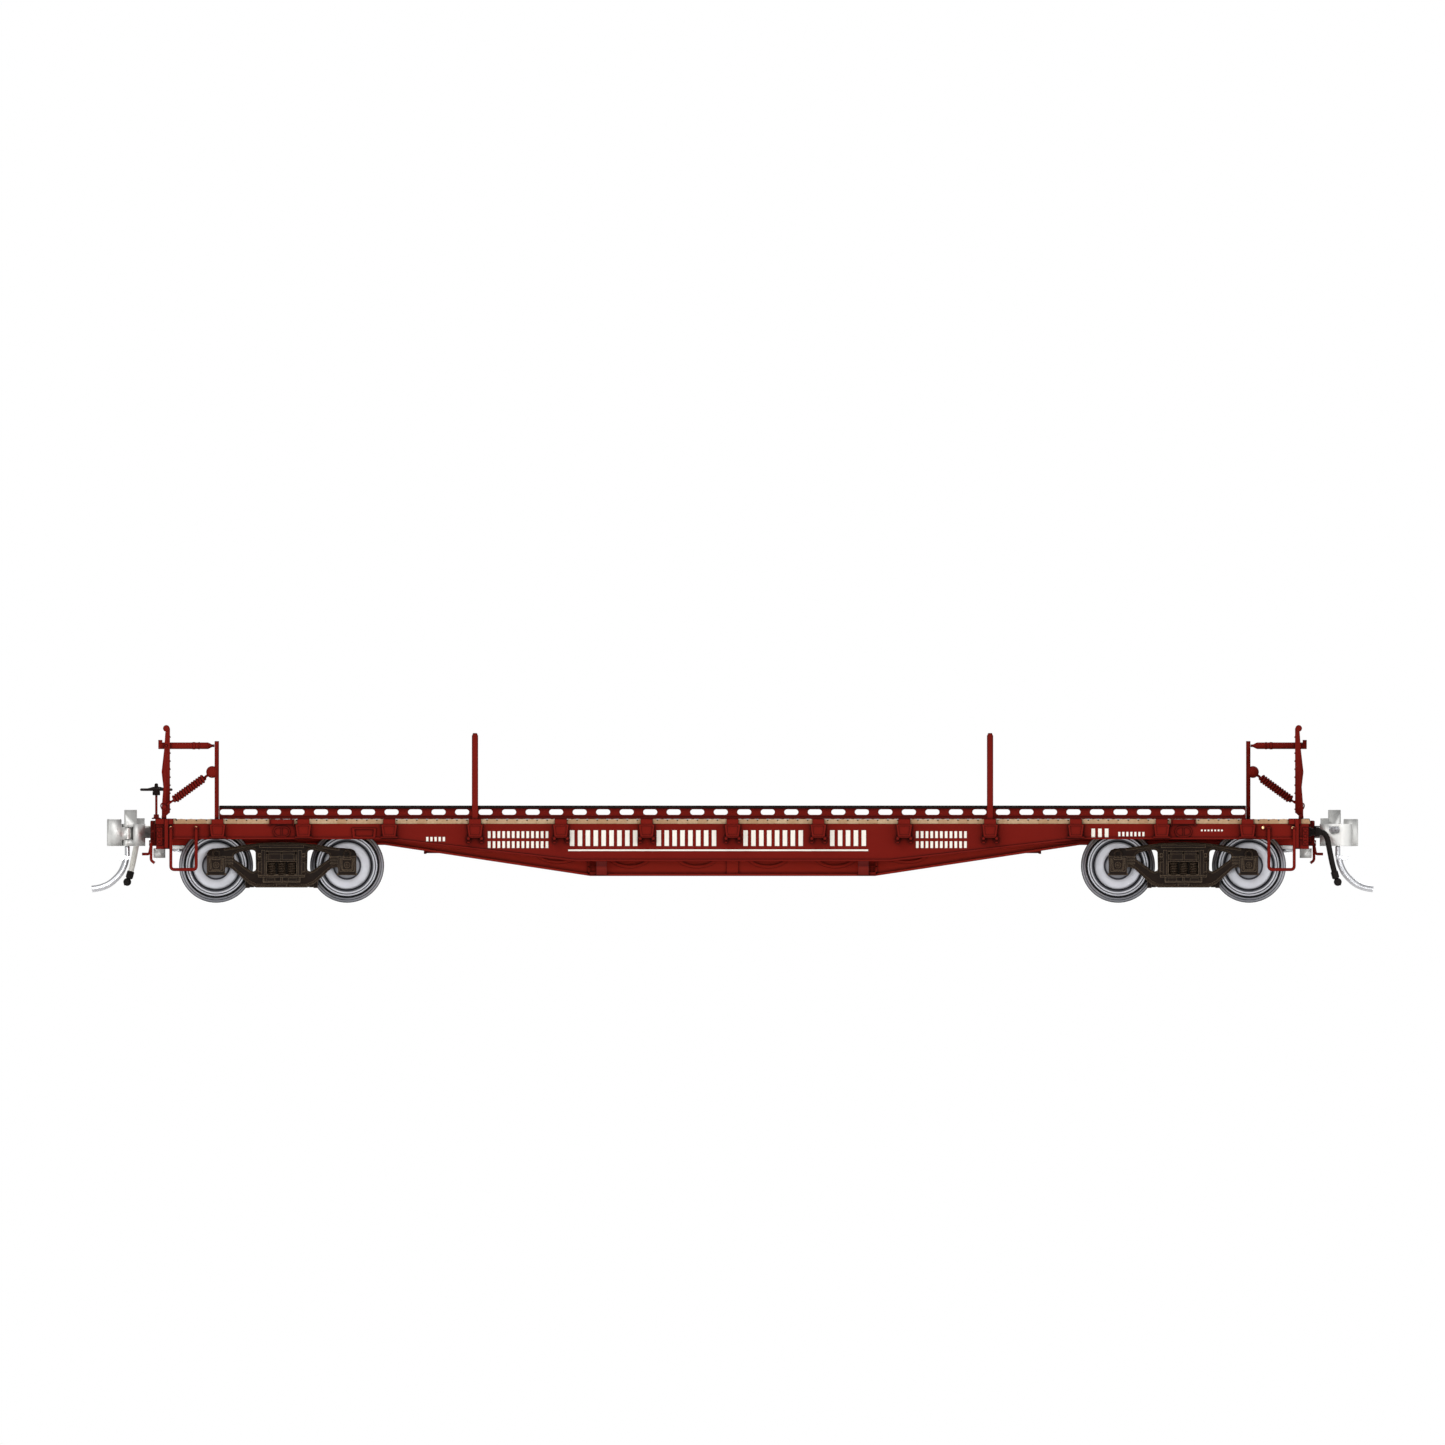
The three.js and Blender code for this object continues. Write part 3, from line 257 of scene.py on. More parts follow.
def airbrushed(name, light, deep, shade_colour, roughness, inside=None):
    made, tree, shader = finish_named(name, roughness)
    where = add(tree, "ShaderNodeTexCoord", {}).outputs["Object"]
    drift = add(tree, "ShaderNodeTexNoise", {"Vector": where, "Scale": per_metre(SPRAY_DRIFT_MM),
                                             "Detail": 4.0})
    coat = add(tree, "ShaderNodeMix", {"Factor": drift.outputs["Fac"], "A": linear(deep),
                                       "B": linear(light)}, data_type="RGBA")
    # Painted shade: ambient occlusion darkens the coat in corners, and a dark line is painted along every
    # edge and crease.
    corner = add(tree, "ShaderNodeAmbientOcclusion", {"Distance": SHADE_REACH_MM * MM}, samples=6)
    depth = add(tree, "ShaderNodeMapRange", {"Value": corner.outputs["AO"], "From Min": 0.4,
                                             "From Max": 0.93, "To Min": 0.95, "To Max": 0.0})
    # Painted light: the middle of the frame, which the sills shade, is given a paler red.
    if inside:
        axes = add(tree, "ShaderNodeSeparateXYZ", {"Vector": where})
        off_centre = add(tree, "ShaderNodeMath", {0: axes.outputs["Y"]}, operation="ABSOLUTE")
        masked = add(tree, "ShaderNodeMapRange", {"Value": off_centre.outputs["Value"], "From Min": 10 * MM,
                                                  "From Max": 12 * MM, "To Min": 1.0, "To Max": 0.0})
        coat = add(tree, "ShaderNodeMix",
                   {"Factor": masked.outputs["Result"], "A": coat.outputs["Result"], "B": linear(inside)},
                   data_type="RGBA")
    line = edge_share(tree, LINE_WIDTH_MM, (0.985, 0.82), 0.85)
    painted_shade_share = add(tree, "ShaderNodeMath", {0: depth.outputs["Result"], 1: line.outputs["Result"]},
               operation="MAXIMUM")
    coat_with_painted_shade = add(tree, "ShaderNodeMix",
                 {"Factor": painted_shade_share.outputs["Value"], "A": coat.outputs["Result"], "B": linear(shade_colour)},
                 data_type="RGBA")
    tooth = add(tree, "ShaderNodeTexNoise", {"Vector": where, "Scale": per_metre(PAINT_TOOTH_MM),
                                             "Detail": 2.0})
    bump = add(tree, "ShaderNodeBump", {"Height": tooth.outputs["Fac"], "Strength": 0.25,
                                        "Distance": 0.02 * MM})
    sheen = add(tree, "ShaderNodeMapRange",
                {"Value": drift.outputs["Fac"], "To Min": roughness - 0.08, "To Max": roughness + 0.12})
    wire_up(tree, shader, coat_with_painted_shade.outputs["Result"], sheen.outputs["Result"], bump.outputs["Normal"])
    return made


red_paint = airbrushed("enamel_oxide_red_airbrushed", "#71160d", "#671109", "#160302", 0.74)
frame_paint = airbrushed("enamel_oxide_red_painted_light_inside", "#71160d", "#671109", "#160302", 0.74,
                         inside="#a32b1e")
cap_paint = airbrushed("enamel_black_tyre_scuffed", "#241a18", "#150c0a", "#050303", 0.6)
print("paints:", red_paint.name, frame_paint.name, cap_paint.name)

# %% [markdown]
# ## Sawn wood for the deck
# The deck is thin hardwood cut across the car, so its grain runs with each board and its pale end grain
# shows. Every board is a slightly different tone, which is what makes a deck read as boards. Each board
# carries its own number in the mesh, and noise stretched along the board makes the grain.

# %% Deck boards
GRAIN_WIDTH_MM = 0.32
GRAIN_LENGTH_MM = 9.0
boards_wood, tree, shader = finish_named("hardwood_boards_sawn_unfinished", 0.8)
where = add(tree, "ShaderNodeTexCoord", {}).outputs["Object"]
board = add(tree, "ShaderNodeAttribute", {}, attribute_name="board_tone").outputs["Fac"]
shift = add(tree, "ShaderNodeCombineXYZ", {"Z": board})
apart = add(tree, "ShaderNodeVectorMath", {0: where, 1: shift.outputs["Vector"]}, operation="ADD")
stretched = add(tree, "ShaderNodeMapping",
                {"Vector": apart.outputs["Vector"], "Scale": (per_metre(GRAIN_WIDTH_MM),
                                                              per_metre(GRAIN_LENGTH_MM),
                                                              per_metre(GRAIN_WIDTH_MM))})
grain = add(tree, "ShaderNodeTexNoise", {"Vector": stretched.outputs["Vector"], "Scale": 1.0,
                                         "Detail": 5.0})
tone = add(tree, "ShaderNodeMix", {"Factor": board, "A": linear("#a98565"), "B": linear("#bea384")},
           data_type="RGBA")
lines = add(tree, "ShaderNodeMapRange", {"Value": grain.outputs["Fac"], "From Min": 0.4, "From Max": 0.75,
                                         "To Min": 0.0, "To Max": 0.5})
figured = add(tree, "ShaderNodeMix",
              {"Factor": lines.outputs["Result"], "A": tone.outputs["Result"], "B": linear("#94704d")},
              data_type="RGBA")
# Painted shade: ambient occlusion darkens the wood in the gaps between boards.
gap = add(tree, "ShaderNodeAmbientOcclusion", {"Distance": 0.3 * MM}, samples=6)
shade = add(tree, "ShaderNodeMapRange",
            {"Value": gap.outputs["AO"], "From Min": 0.3, "From Max": 0.85, "To Min": 0.85, "To Max": 0.0})
gap_shaded = add(tree, "ShaderNodeMix",
             {"Factor": shade.outputs["Result"], "A": figured.outputs["Result"], "B": linear("#2b1a10")},
             data_type="RGBA")
relief = add(tree, "ShaderNodeBump",
             {"Height": grain.outputs["Fac"], "Strength": 0.5, "Distance": 0.03 * MM})
wire_up(tree, shader, gap_shaded.outputs["Result"], None, relief.outputs["Normal"])
print("deck finish:", boards_wood.name)

# %% [markdown]
# ## Self-coloured truck plastic
# Trucks are moulded in a slippery engineering plastic, coloured right through and left unpainted.
# It is nearly black-brown with a waxy sheen. A painted highlight lies on its open edges and ribs: the same
# comparison of normals that paints shade along the paint's edges turns only the plastic's edges pale.

# %% Truck plastic
HIGHLIGHT_EDGE_MM = 0.16
truck_plastic, tree, shader = finish_named("acetal_dark_brown_moulded", 0.5)
where = add(tree, "ShaderNodeTexCoord", {}).outputs["Object"]
mottle = add(tree, "ShaderNodeTexNoise", {"Vector": where, "Scale": per_metre(1.6), "Detail": 4.0})
body = add(tree, "ShaderNodeMix", {"Factor": mottle.outputs["Fac"], "A": linear("#130c08"),
                                   "B": linear("#271b13")}, data_type="RGBA")
# Painted highlight: open edges, found by the normals and ambient occlusion, are turned pale.
edge = edge_share(tree, HIGHLIGHT_EDGE_MM, (0.97, 0.78), 0.7)
corner = add(tree, "ShaderNodeAmbientOcclusion", {"Distance": 0.8 * MM}, samples=6)
open_edge = add(tree, "ShaderNodeMath", {0: edge.outputs["Result"], 1: corner.outputs["AO"]},
                operation="MULTIPLY")
edge_highlighted = add(tree, "ShaderNodeMix",
            {"Factor": open_edge.outputs["Value"], "A": body.outputs["Result"], "B": linear("#8a7762")},
            data_type="RGBA")
grit = add(tree, "ShaderNodeTexNoise", {"Vector": where, "Scale": per_metre(0.25), "Detail": 3.0})
bump = add(tree, "ShaderNodeBump", {"Height": grit.outputs["Fac"], "Strength": 0.3, "Distance": 0.03 * MM})
waxy = add(tree, "ShaderNodeMapRange", {"Value": mottle.outputs["Fac"], "To Min": 0.42, "To Max": 0.62})
wire_up(tree, shader, edge_highlighted.outputs["Result"], waxy.outputs["Result"], bump.outputs["Normal"])
print("truck finish:", truck_plastic.name)

# %% [markdown]
# ## Turned steel for the wheels
# A wheel is turned on a lathe, which leaves fine circles round its axle. Its face is coloured in rings, and
# the dark ones, where the section steps or dips, are painted shade. Distance from the axle drives both the
# rings and the tool marks. Each wheel's own origin is on its axle, so that distance is simply the length
# across it.

# %% Wheel steel
TOOL_MARK_MM = 0.14
RAMP_REACH = 6
# The dark rings lie where the wheel's section steps or dips, and are painted shade.
RINGS = [(0.0, "#8f9096"), (1.86, "#505057"), (2.12, "#cccdd3"), (3.42, "#c2c3c8"), (3.5, "#3c3c42"),
         (3.72, "#6b6c72"), (3.95, "#c2c3c8"), (4.18, "#3a3a40"), (4.3, "#b3b4ba"), (4.52, "#17171a"),
         (4.84, "#c9cad0"), (5.06, "#5b5c62"), (5.16, "#b8b9bf"), (5.42, "#4d4e54")]
wheel_steel, tree, shader = finish_named("steel_turned_darkened_rings", 0.5, metallic=0.8)
where = add(tree, "ShaderNodeTexCoord", {}).outputs["Object"]
across = add(tree, "ShaderNodeVectorMath", {0: where, 1: (1.0, 0.0, 1.0)}, operation="MULTIPLY")
radius = add(tree, "ShaderNodeVectorMath", {0: across.outputs["Vector"]},
             operation="LENGTH").outputs["Value"]
share = add(tree, "ShaderNodeMath", {0: radius, 1: 1 / (RAMP_REACH * MM)},
            operation="MULTIPLY").outputs["Value"]
rings = add(tree, "ShaderNodeValToRGB", {"Fac": share})
rings.color_ramp.interpolation = "CONSTANT"
stops = rings.color_ramp.elements
for i, (ring_radius, colour) in enumerate(RINGS):
    stop = stops[0] if i == 0 else stops.new(ring_radius / RAMP_REACH)
    stop.color = linear(colour)
stops.remove(stops[-1])
marks = add(tree, "ShaderNodeTexNoise", {"W": radius, "Scale": per_metre(TOOL_MARK_MM), "Detail": 3.0},
            noise_dimensions="1D")
cloud = add(tree, "ShaderNodeTexNoise", {"Vector": where, "Scale": per_metre(1.8), "Detail": 4.0})
worn = add(tree, "ShaderNodeMapRange",
           {"Value": cloud.outputs["Fac"], "From Min": 0.3, "From Max": 0.7, "To Min": 0.86, "To Max": 1.0})
tinted = add(tree, "ShaderNodeVectorMath", {0: rings.outputs["Color"], "Scale": worn.outputs["Result"]},
             operation="SCALE")
bump = add(tree, "ShaderNodeBump", {"Height": marks.outputs["Fac"], "Strength": 0.25,
                                    "Distance": 0.02 * MM})
dull = add(tree, "ShaderNodeMapRange", {"Value": marks.outputs["Fac"], "To Min": 0.46, "To Max": 0.62})
wire_up(tree, shader, tinted.outputs["Vector"], dull.outputs["Result"], bump.outputs["Normal"])
print(len(RINGS), "rings on each wheel face")

# %% [markdown]
# ## Bare metals
# Couplers are pressure cast in zinc alloy and tumbled, which leaves them pale, satin and a little lumpy.
# Trip pins and screws are bright steel, drawn or turned. One maker's recipe covers them all, because they
# differ only in colour, in how rough they are and in the size of the marks that made them so. A finish and
# the slot that the record keeps for it are named together.

# %% Metals, rubber, nylon and ink
def plain_finish(name, light, deep, roughness, metallic, mark_mm, relief_mm):
    made, tree, shader = finish_named(name, roughness, metallic)
    where = add(tree, "ShaderNodeTexCoord", {}).outputs["Object"]
    cloud = add(tree, "ShaderNodeTexNoise", {"Vector": where, "Scale": per_metre(mark_mm * 5),
                                             "Detail": 5.0})
    marks = add(tree, "ShaderNodeTexNoise", {"Vector": where, "Scale": per_metre(mark_mm), "Detail": 3.0})
    coat = add(tree, "ShaderNodeMix", {"Factor": cloud.outputs["Fac"], "A": linear(deep),
                                       "B": linear(light)}, data_type="RGBA")
    # Painted shade: ambient occlusion darkens the colour in corners.
    corner = add(tree, "ShaderNodeAmbientOcclusion", {"Distance": 0.5 * MM}, samples=6)
    depth = add(tree, "ShaderNodeMapRange", {"Value": corner.outputs["AO"], "From Min": 0.3,
                                             "From Max": 0.85, "To Min": 0.35, "To Max": 1.0})
    shaded = add(tree, "ShaderNodeVectorMath",
                 {0: coat.outputs["Result"], "Scale": depth.outputs["Result"]}, operation="SCALE")
    bump = add(tree, "ShaderNodeBump",
               {"Height": marks.outputs["Fac"], "Strength": 0.4, "Distance": relief_mm * MM})
    dull = add(tree, "ShaderNodeMapRange",
               {"Value": cloud.outputs["Fac"], "To Min": roughness - 0.08, "To Max": roughness + 0.1})
    wire_up(tree, shader, shaded.outputs["Vector"], dull.outputs["Result"], bump.outputs["Normal"])
    return made


coupler_zinc = plain_finish("zinc_alloy_cast_tumbled", "#ecece9", "#d2d2d0", 0.52, 1.0, 0.4, 0.02)
pin_steel = plain_finish("steel_wire_drawn_bright", "#e2e3e6", "#bfc0c4", 0.3, 1.0, 0.3, 0.01)
weight_steel = plain_finish("steel_strip_cold_rolled", "#a6a9ad", "#83868b", 0.45, 1.0, 0.8, 0.02)
# The sill bolt heads are turned brass, and their pale colour also paints the highlight they catch.
brass_with_painted_highlight = plain_finish("brass_turned_bolt_with_painted_highlight", "#e8c59a", "#c79a66", 0.35, 1.0, 0.2, 0.01)
hose_rubber = plain_finish("rubber_black_moulded", "#262220", "#141110", 0.6, 0.0, 0.3, 0.02)
hose_nylon = plain_finish("nylon_natural_moulded", "#f1efe9", "#dcd9d0", 0.45, 0.0, 0.5, 0.01)
ink = plain_finish("ink_white_pad_printed", "#f3efe6", "#e2dccf", 0.6, 0.0, 0.4, 0.005)
PAINTED_RED = (red_paint, "oxide_red_paint")
PAINTED_BLACK = (cap_paint, "oxide_red_paint")
MOULDED_BROWN = (truck_plastic, "truck_brown_plastic")
TURNED_STEEL = (wheel_steel, "blackened_wheel_steel")
CAST_ZINC = (coupler_zinc, "bare_coupler_metal")
BRIGHT_STEEL = (pin_steel, "bright_steel")
print("finishes made:", len(bpy.data.materials))

# %% [markdown]
# ## Ways of making a piece
# A modeller has a few basic moves: saw a block, turn a bar, bend a wire and cut a plate. Each is a small
# function that adds its shape to one mesh, so that a piece with many features stays one mesh. The last
# step, called piece, softens the edges, gives the finish and hangs the piece on its body.

# %% Blocks, turned bars and bent wires
def block(mesh, x, y, z):
    corners = [mesh.verts.new((a, b, c)) for a in x for b in y for c in z]
    for ids in ((0, 1, 3, 2), (4, 6, 7, 5), (0, 4, 5, 1), (2, 3, 7, 6), (0, 2, 6, 4), (1, 5, 7, 3)):
        mesh.faces.new([corners[i] for i in ids])


def about(middle, half):
    """The two ends of something set evenly about a middle."""
    return (middle - half, middle + half)


def bridge(mesh, first, second):
    steps = max(len(first), len(second))
    for i in range(steps):
        ring = [first[i % len(first)], first[(i + 1) % len(first)]]
        ring += [second[(i + 1) % len(second)], second[i % len(second)]]
        corners = list(dict.fromkeys(ring))
        if len(corners) > 2:
            mesh.faces.new(corners)


def turned_bar(mesh, profile, centre, axis, steps=32):
    """A bar turned on a lathe: profile holds pairs of radius and distance along the axis."""
    along = Vector(axis).normalized()
    side = along.orthogonal().normalized()
    other = along.cross(side)
    rings = []
    for radius, distance in profile:
        middle = Vector(centre) + along * distance
        if radius < 1e-6:
            rings.append([mesh.verts.new(middle)])
            continue
        turns = [2 * math.pi * i / steps for i in range(steps)]
        spokes = [side * math.cos(t) + other * math.sin(t) for t in turns]
        rings.append([mesh.verts.new(middle + spoke * radius) for spoke in spokes])
    for first, second in zip(rings, rings[1:]):
        bridge(mesh, first, second)
    for ring in (rings[0], rings[-1]):
        if len(ring) > 1:
            mesh.faces.new(ring)


def bent_wire(mesh, path, radius, sides=12, closed=False):
    """A round wire along a path of points; radius may be a list, one for each point."""
    points = [Vector(p) for p in path]
    count = len(points)
    radii = radius if isinstance(radius, list) else [radius] * count
    rings = []
    normal = None
    for i, point in enumerate(points):
        before = points[i - 1] if closed else points[max(i - 1, 0)]
        after = points[(i + 1) % count] if closed else points[min(i + 1, count - 1)]
        along = (after - before).normalized()
        normal = along.orthogonal() if normal is None else normal - along * normal.dot(along)
        normal.normalize()
        side = along.cross(normal)
        turns = [2 * math.pi * k / sides for k in range(sides)]
        spokes = [normal * math.cos(t) + side * math.sin(t) for t in turns]
        rings.append([mesh.verts.new(point + spoke * radii[i]) for spoke in spokes])
    for first, second in zip(rings, rings[1:]):
        bridge(mesh, first, second)
    if closed:
        bridge(mesh, rings[-1], rings[0])
    else:
        mesh.faces.new(rings[0])
        mesh.faces.new(rings[-1])


def rounded(points, radius, steps=6):
    """The path with each corner replaced by a smooth bend."""
    path = [Vector(points[0])]
    for before, corner, after in zip(points, points[1:], points[2:]):
        here = Vector(corner)
        start = here + (Vector(before) - here).normalized() * radius
        end = here + (Vector(after) - here).normalized() * radius
        for i in range(steps + 1):
            t = i / steps
            path.append(start * (1 - t) ** 2 + here * 2 * t * (1 - t) + end * t**2)
    path.append(Vector(points[-1]))
    return path


def swept(points, steps=8):
    """A smooth path through every point."""
    held = [Vector(p) for p in points]
    held = [held[0] * 2 - held[1], *held, held[-1] * 2 - held[-2]]
    path = []
    for a, b, c, d in zip(held, held[1:], held[2:], held[3:]):
        for i in range(steps):
            t = i / steps
            square = a * 2 - b * 5 + c * 4 - d
            cube = b * 3 - a - c * 3 + d
            path.append((b * 2 + (c - a) * t + square * t**2 + cube * t**3) / 2)
    path.append(held[-2])
    return path


print("a bend of six steps has", len(rounded([(0, 0, 0), (1, 0, 0), (1, 1, 0)], 0.3)), "points")

# %% [markdown]
# ## Cut plates and finished pieces
# A flat plate with holes is easiest as a filled 2D curve: give the outline and the holes, then its
# thickness. The curve's own bevel rounds the rims, and pulling the outline in by as much keeps the plate
# its true size. A piece that already has the right shape as a solid is copied and its edges are broken, as
# a file would do.

# %% Plates and pieces
def cut_plate(mesh, outline, holes, y, rim=0.05):
    """A plate cut to an outline in X and Z, with holes, as thick as y says."""
    drawn = bpy.data.curves.new("plate", "CURVE")
    drawn.dimensions = "2D"
    drawn.fill_mode = "BOTH"
    drawn.extrude = (y[1] - y[0]) / 2 - rim
    drawn.bevel_depth = rim
    drawn.bevel_resolution = 1
    drawn.offset = -rim
    for loop in [outline, *holes]:
        spline = drawn.splines.new("POLY")
        spline.points.add(len(loop) - 1)
        for point, (x, z) in zip(spline.points, loop):
            point.co = (x, z, 0, 1)
        spline.use_cyclic_u = True
    holder = bpy.data.objects.new("plate", drawn)
    flat = bpy.data.meshes.new_from_object(holder)
    stand = Matrix(((1, 0, 0, 0), (0, 0, -1, (y[0] + y[1]) / 2), (0, 1, 0, 0), (0, 0, 0, 1)))
    flat.transform(stand)
    mesh.from_mesh(flat)
    bpy.data.objects.remove(holder)
    bpy.data.curves.remove(drawn)
    bpy.data.meshes.remove(flat)
    bmesh.ops.remove_doubles(mesh, verts=mesh.verts, dist=1e-4)


def oval(x, z, half_x, half_z, steps=24):
    turns = [2 * math.pi * (i + 0.5) / steps for i in range(steps)]
    return [(x + half_x * math.cos(t), z + half_z * math.sin(t)) for t in turns]


def slot(x, z, half_length, half_height, steps=8):
    """A round-ended slot."""
    straight = half_length - half_height
    loop = []
    for side in (1, -1):
        for i in range(steps + 1):
            t = math.pi * (i / steps - 0.5)
            loop.append((x + side * (straight + half_height * math.cos(t)),
                         z + side * half_height * math.sin(t)))
    return loop


def piece(name, mesh, body, finish, record_slot=None, place=None, origin=None, broken=0.0, replaced=()):
    if place is not None:
        mesh.transform(place)
    bmesh.ops.recalc_face_normals(mesh, faces=mesh.faces)
    if broken:
        sharp = [e for e in mesh.edges if e.is_manifold and e.calc_face_angle(0) > math.radians(38)]
        bmesh.ops.bevel(mesh, geom=sharp, offset=broken, segments=2, affect="EDGES", clamp_overlap=True)
    start = Vector(origin) if origin else Vector()
    mesh.transform(Matrix.Scale(MM, 4) @ Matrix.Translation(-start))
    data = bpy.data.meshes.new(name)
    mesh.to_mesh(data)
    mesh.free()
    data.polygons.foreach_set("use_smooth", [True] * len(data.polygons))
    data.set_sharp_from_angle(angle=math.radians(42))
    data.materials.append(finish)
    made = bpy.data.objects.new(name, data)
    made.location = start * MM
    scene.collection.objects.link(made)
    if body:
        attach(made, body)
    if replaced:
        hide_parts(*replaced)
    return made


def joined(mesh, part):
    """Put a finished part into a bigger mesh."""
    held = bpy.data.meshes.new("part")
    part.to_mesh(held)
    part.free()
    mesh.from_mesh(held)
    bpy.data.meshes.remove(held)


def broken_edges(node, finish, record_slot, width=0.06):
    """The same piece as its solid, with its sharp edges broken."""
    solid = frame["nodes"][node]
    mesh = bmesh.new()
    mesh.from_mesh(solid.data)
    mesh.transform(Matrix.Scale(1 / MM, 4))
    bmesh.ops.remove_doubles(mesh, verts=mesh.verts, dist=0.002)
    bmesh.ops.dissolve_limit(mesh, angle_limit=math.radians(1), verts=mesh.verts, edges=mesh.edges)
    return piece(node + "_filed", mesh, solid["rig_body"], finish, record_slot, broken=width,
                 replaced=(node,))


print("pieces start from", len(frame["nodes"]), "solids")

# %% [markdown]
# ## The deck
# Boards lie across the car. Each is one strip with broken top edges, a little higher, lower or shorter than
# the next. Building them one by one keeps the gaps real, so light falls into them, and lets each board
# carry its own tone.

# %% Deck boards and their bolts
BOARD_PITCH = 1.5
BOARDS = 115
NICK_DEPTH = 0.26
BOLT_ROWS = (-13.2, -11.2, -4.2, 4.2, 11.2, 13.2)
deck = bmesh.new()
tone_layer = deck.faces.layers.float.new("board_tone")
for i in range(BOARDS):
    low = (i - BOARDS / 2) * BOARD_PITCH
    high = low + BOARD_PITCH
    if i == 0:
        low = -END_X
    if i == BOARDS - 1:
        high = END_X
    top = DECK_TOP - draw.uniform(0.0, 0.03)
    reach = DECK_HALF - draw.uniform(0.0, 0.05)
    nick = top - NICK_DEPTH
    section = [(low, DECK_BOTTOM), (high, DECK_BOTTOM), (high, nick), (high - 0.08, nick),
               (high - 0.17, top), (low + 0.17, top), (low + 0.08, nick), (low, nick)]
    before = len(deck.faces)
    rings = [[deck.verts.new((x, side * reach, z)) for x, z in section] for side in (-1, 1)]
    bridge(deck, *rings)
    for ring in rings:
        deck.faces.new(ring)
    deck.faces.ensure_lookup_table()
    tone_of_board = draw.random()
    for face in deck.faces[before:]:
        face[tone_layer] = tone_of_board
piece("deck_boards", deck, "car_body", boards_wood, "deck_wood", replaced=("deck",))

bolts = bmesh.new()
for i in range(BOARDS):
    for y in BOLT_ROWS:
        x = (i - (BOARDS - 1) / 2) * BOARD_PITCH + draw.uniform(-0.06, 0.06)
        turned_bar(bolts, [(0.15, -0.1), (0.15, 0.01), (0.1, 0.03)], (x, y, DECK_TOP), UP, steps=6)
piece("deck_bolts", bolts, "car_body", weight_steel)

# A dark sheet under the boards is painted shadow: it darkens the bottoms of the grooves between them.
gap_shadow_sheet = bmesh.new()
for y, depth in (((-15.4, 15.4), 0.2), ((-16.02, -15.2), 0.05), ((15.2, 16.02), 0.05)):
    block(gap_shadow_sheet, (-END_X + 0.03, END_X - 0.03), y, (DECK_BOTTOM + 0.1, DECK_TOP - depth))
piece("painted_gap_shadow", gap_shadow_sheet, "car_body", hose_rubber)
print(BOARDS, "boards and", BOARDS * len(BOLT_ROWS), "bolt heads")

# %% [markdown]
# ## The rub rails
# A rub rail is a rolled channel on each edge of the deck, which keeps a trailer's tyres on the car. Its web
# is pierced with round-ended slots for tie-down chains. A filled curve gives the slots clean round ends.
# Tyres scuff the top flange black, so that flange is its own piece in its own paint.

# %% Rub rails
RAIL_HALF = 76.85
RAIL_INNER = 14.5
RAIL_OUTER = 15.5
RAIL_TOP = DECK_TOP + 2.02
SLOTS = 44
SLOT_PITCH = 3.52
SLOT_HALF = 1.05, 0.405
SLOT_Z = DECK_TOP + 1.045
FLANGE_THICK = 0.3
slots = [slot((i - (SLOTS - 1) / 2) * SLOT_PITCH, SLOT_Z, *SLOT_HALF) for i in range(SLOTS)]
face = [(-RAIL_HALF, DECK_TOP), (RAIL_HALF, DECK_TOP), (RAIL_HALF, RAIL_TOP - FLANGE_THICK),
        (-RAIL_HALF, RAIL_TOP - FLANGE_THICK)]
for side, turn in (("far", None), ("near", HALF_TURN)):
    web = bmesh.new()
    cut_plate(web, face, slots, (RAIL_INNER, RAIL_INNER + 0.35), rim=0.04)
    block(web, (-RAIL_HALF, RAIL_HALF), (RAIL_INNER, RAIL_OUTER), (DECK_TOP, DECK_TOP + FLANGE_THICK))
    piece("rub_rail_web_" + side, web, "car_body", *PAINTED_RED, place=turn,
          replaced=("rub_rail_" + side,))
    cap = bmesh.new()
    block(cap, (-RAIL_HALF, RAIL_HALF), (RAIL_INNER, RAIL_OUTER), (RAIL_TOP - 0.37, RAIL_TOP))
    piece("rub_rail_cap_" + side, cap, "car_body", cap_paint, place=turn, broken=0.07)

# %% [markdown]
# ## Wheels and axles
# A railway wheel is a body of revolution, so its section is drawn once and turned: hub, dished plate, rim,
# coned tread and flange. A lathe section gives clean round edges with few faces.
# One wheel of each pair is pressed on its axle and the other turns on a dark insulating bush.

# %% Wheelsets
WHEEL_SECTION = [(0.8, 2.58), (1.72, 2.6), (1.86, 2.52), (1.98, 2.3), (2.15, 2.18), (2.6, 2.12),
                 (3.3, 2.12), (3.48, 2.18), (3.62, 2.4), (3.8, 2.62), (3.95, 2.68), (4.16, 2.68),
                 (4.22, 2.58), (4.28, 2.68), (4.66, 2.7), (4.78, 2.64), (4.84, 2.52), (4.86, 1.0),
                 (4.9, 0.86), (5.06, 0.68), (5.3, 0.58), (5.48, 0.48), (5.55, 0.32), (5.52, 0.16),
                 (5.4, 0.06), (5.1, 0.0), (4.3, 0.0), (3.95, 0.06), (3.7, 0.35), (3.5, 0.62), (2.4, 0.7),
                 (2.1, 0.5), (1.9, 0.1), (1.75, 0.0), (0.8, 0.0)]
AXLE_SECTION = [(0.0, -11.95), (0.1, -11.85), (0.48, -11.15), (0.5, -10.9), (0.5, -9.98), (0.78, -9.95),
                (0.8, -7.0), (0.9, -6.9), (0.9, -6.2), (0.74, -6.0), (0.74, 6.0), (0.9, 6.2), (0.9, 6.9),
                (0.78, 7.0), (0.78, 9.95), (0.5, 9.98), (0.5, 10.9), (0.48, 11.15), (0.1, 11.85),
                (0.0, 11.95)]
ALONG_Y = Vector((0, 1, 0))


def wheel(mesh, side, steps=72):
    section = [(radius, side * (WHEEL_BACK + out)) for radius, out in WHEEL_SECTION]
    turned_bar(mesh, section, (0, 0, 0), ALONG_Y, steps)


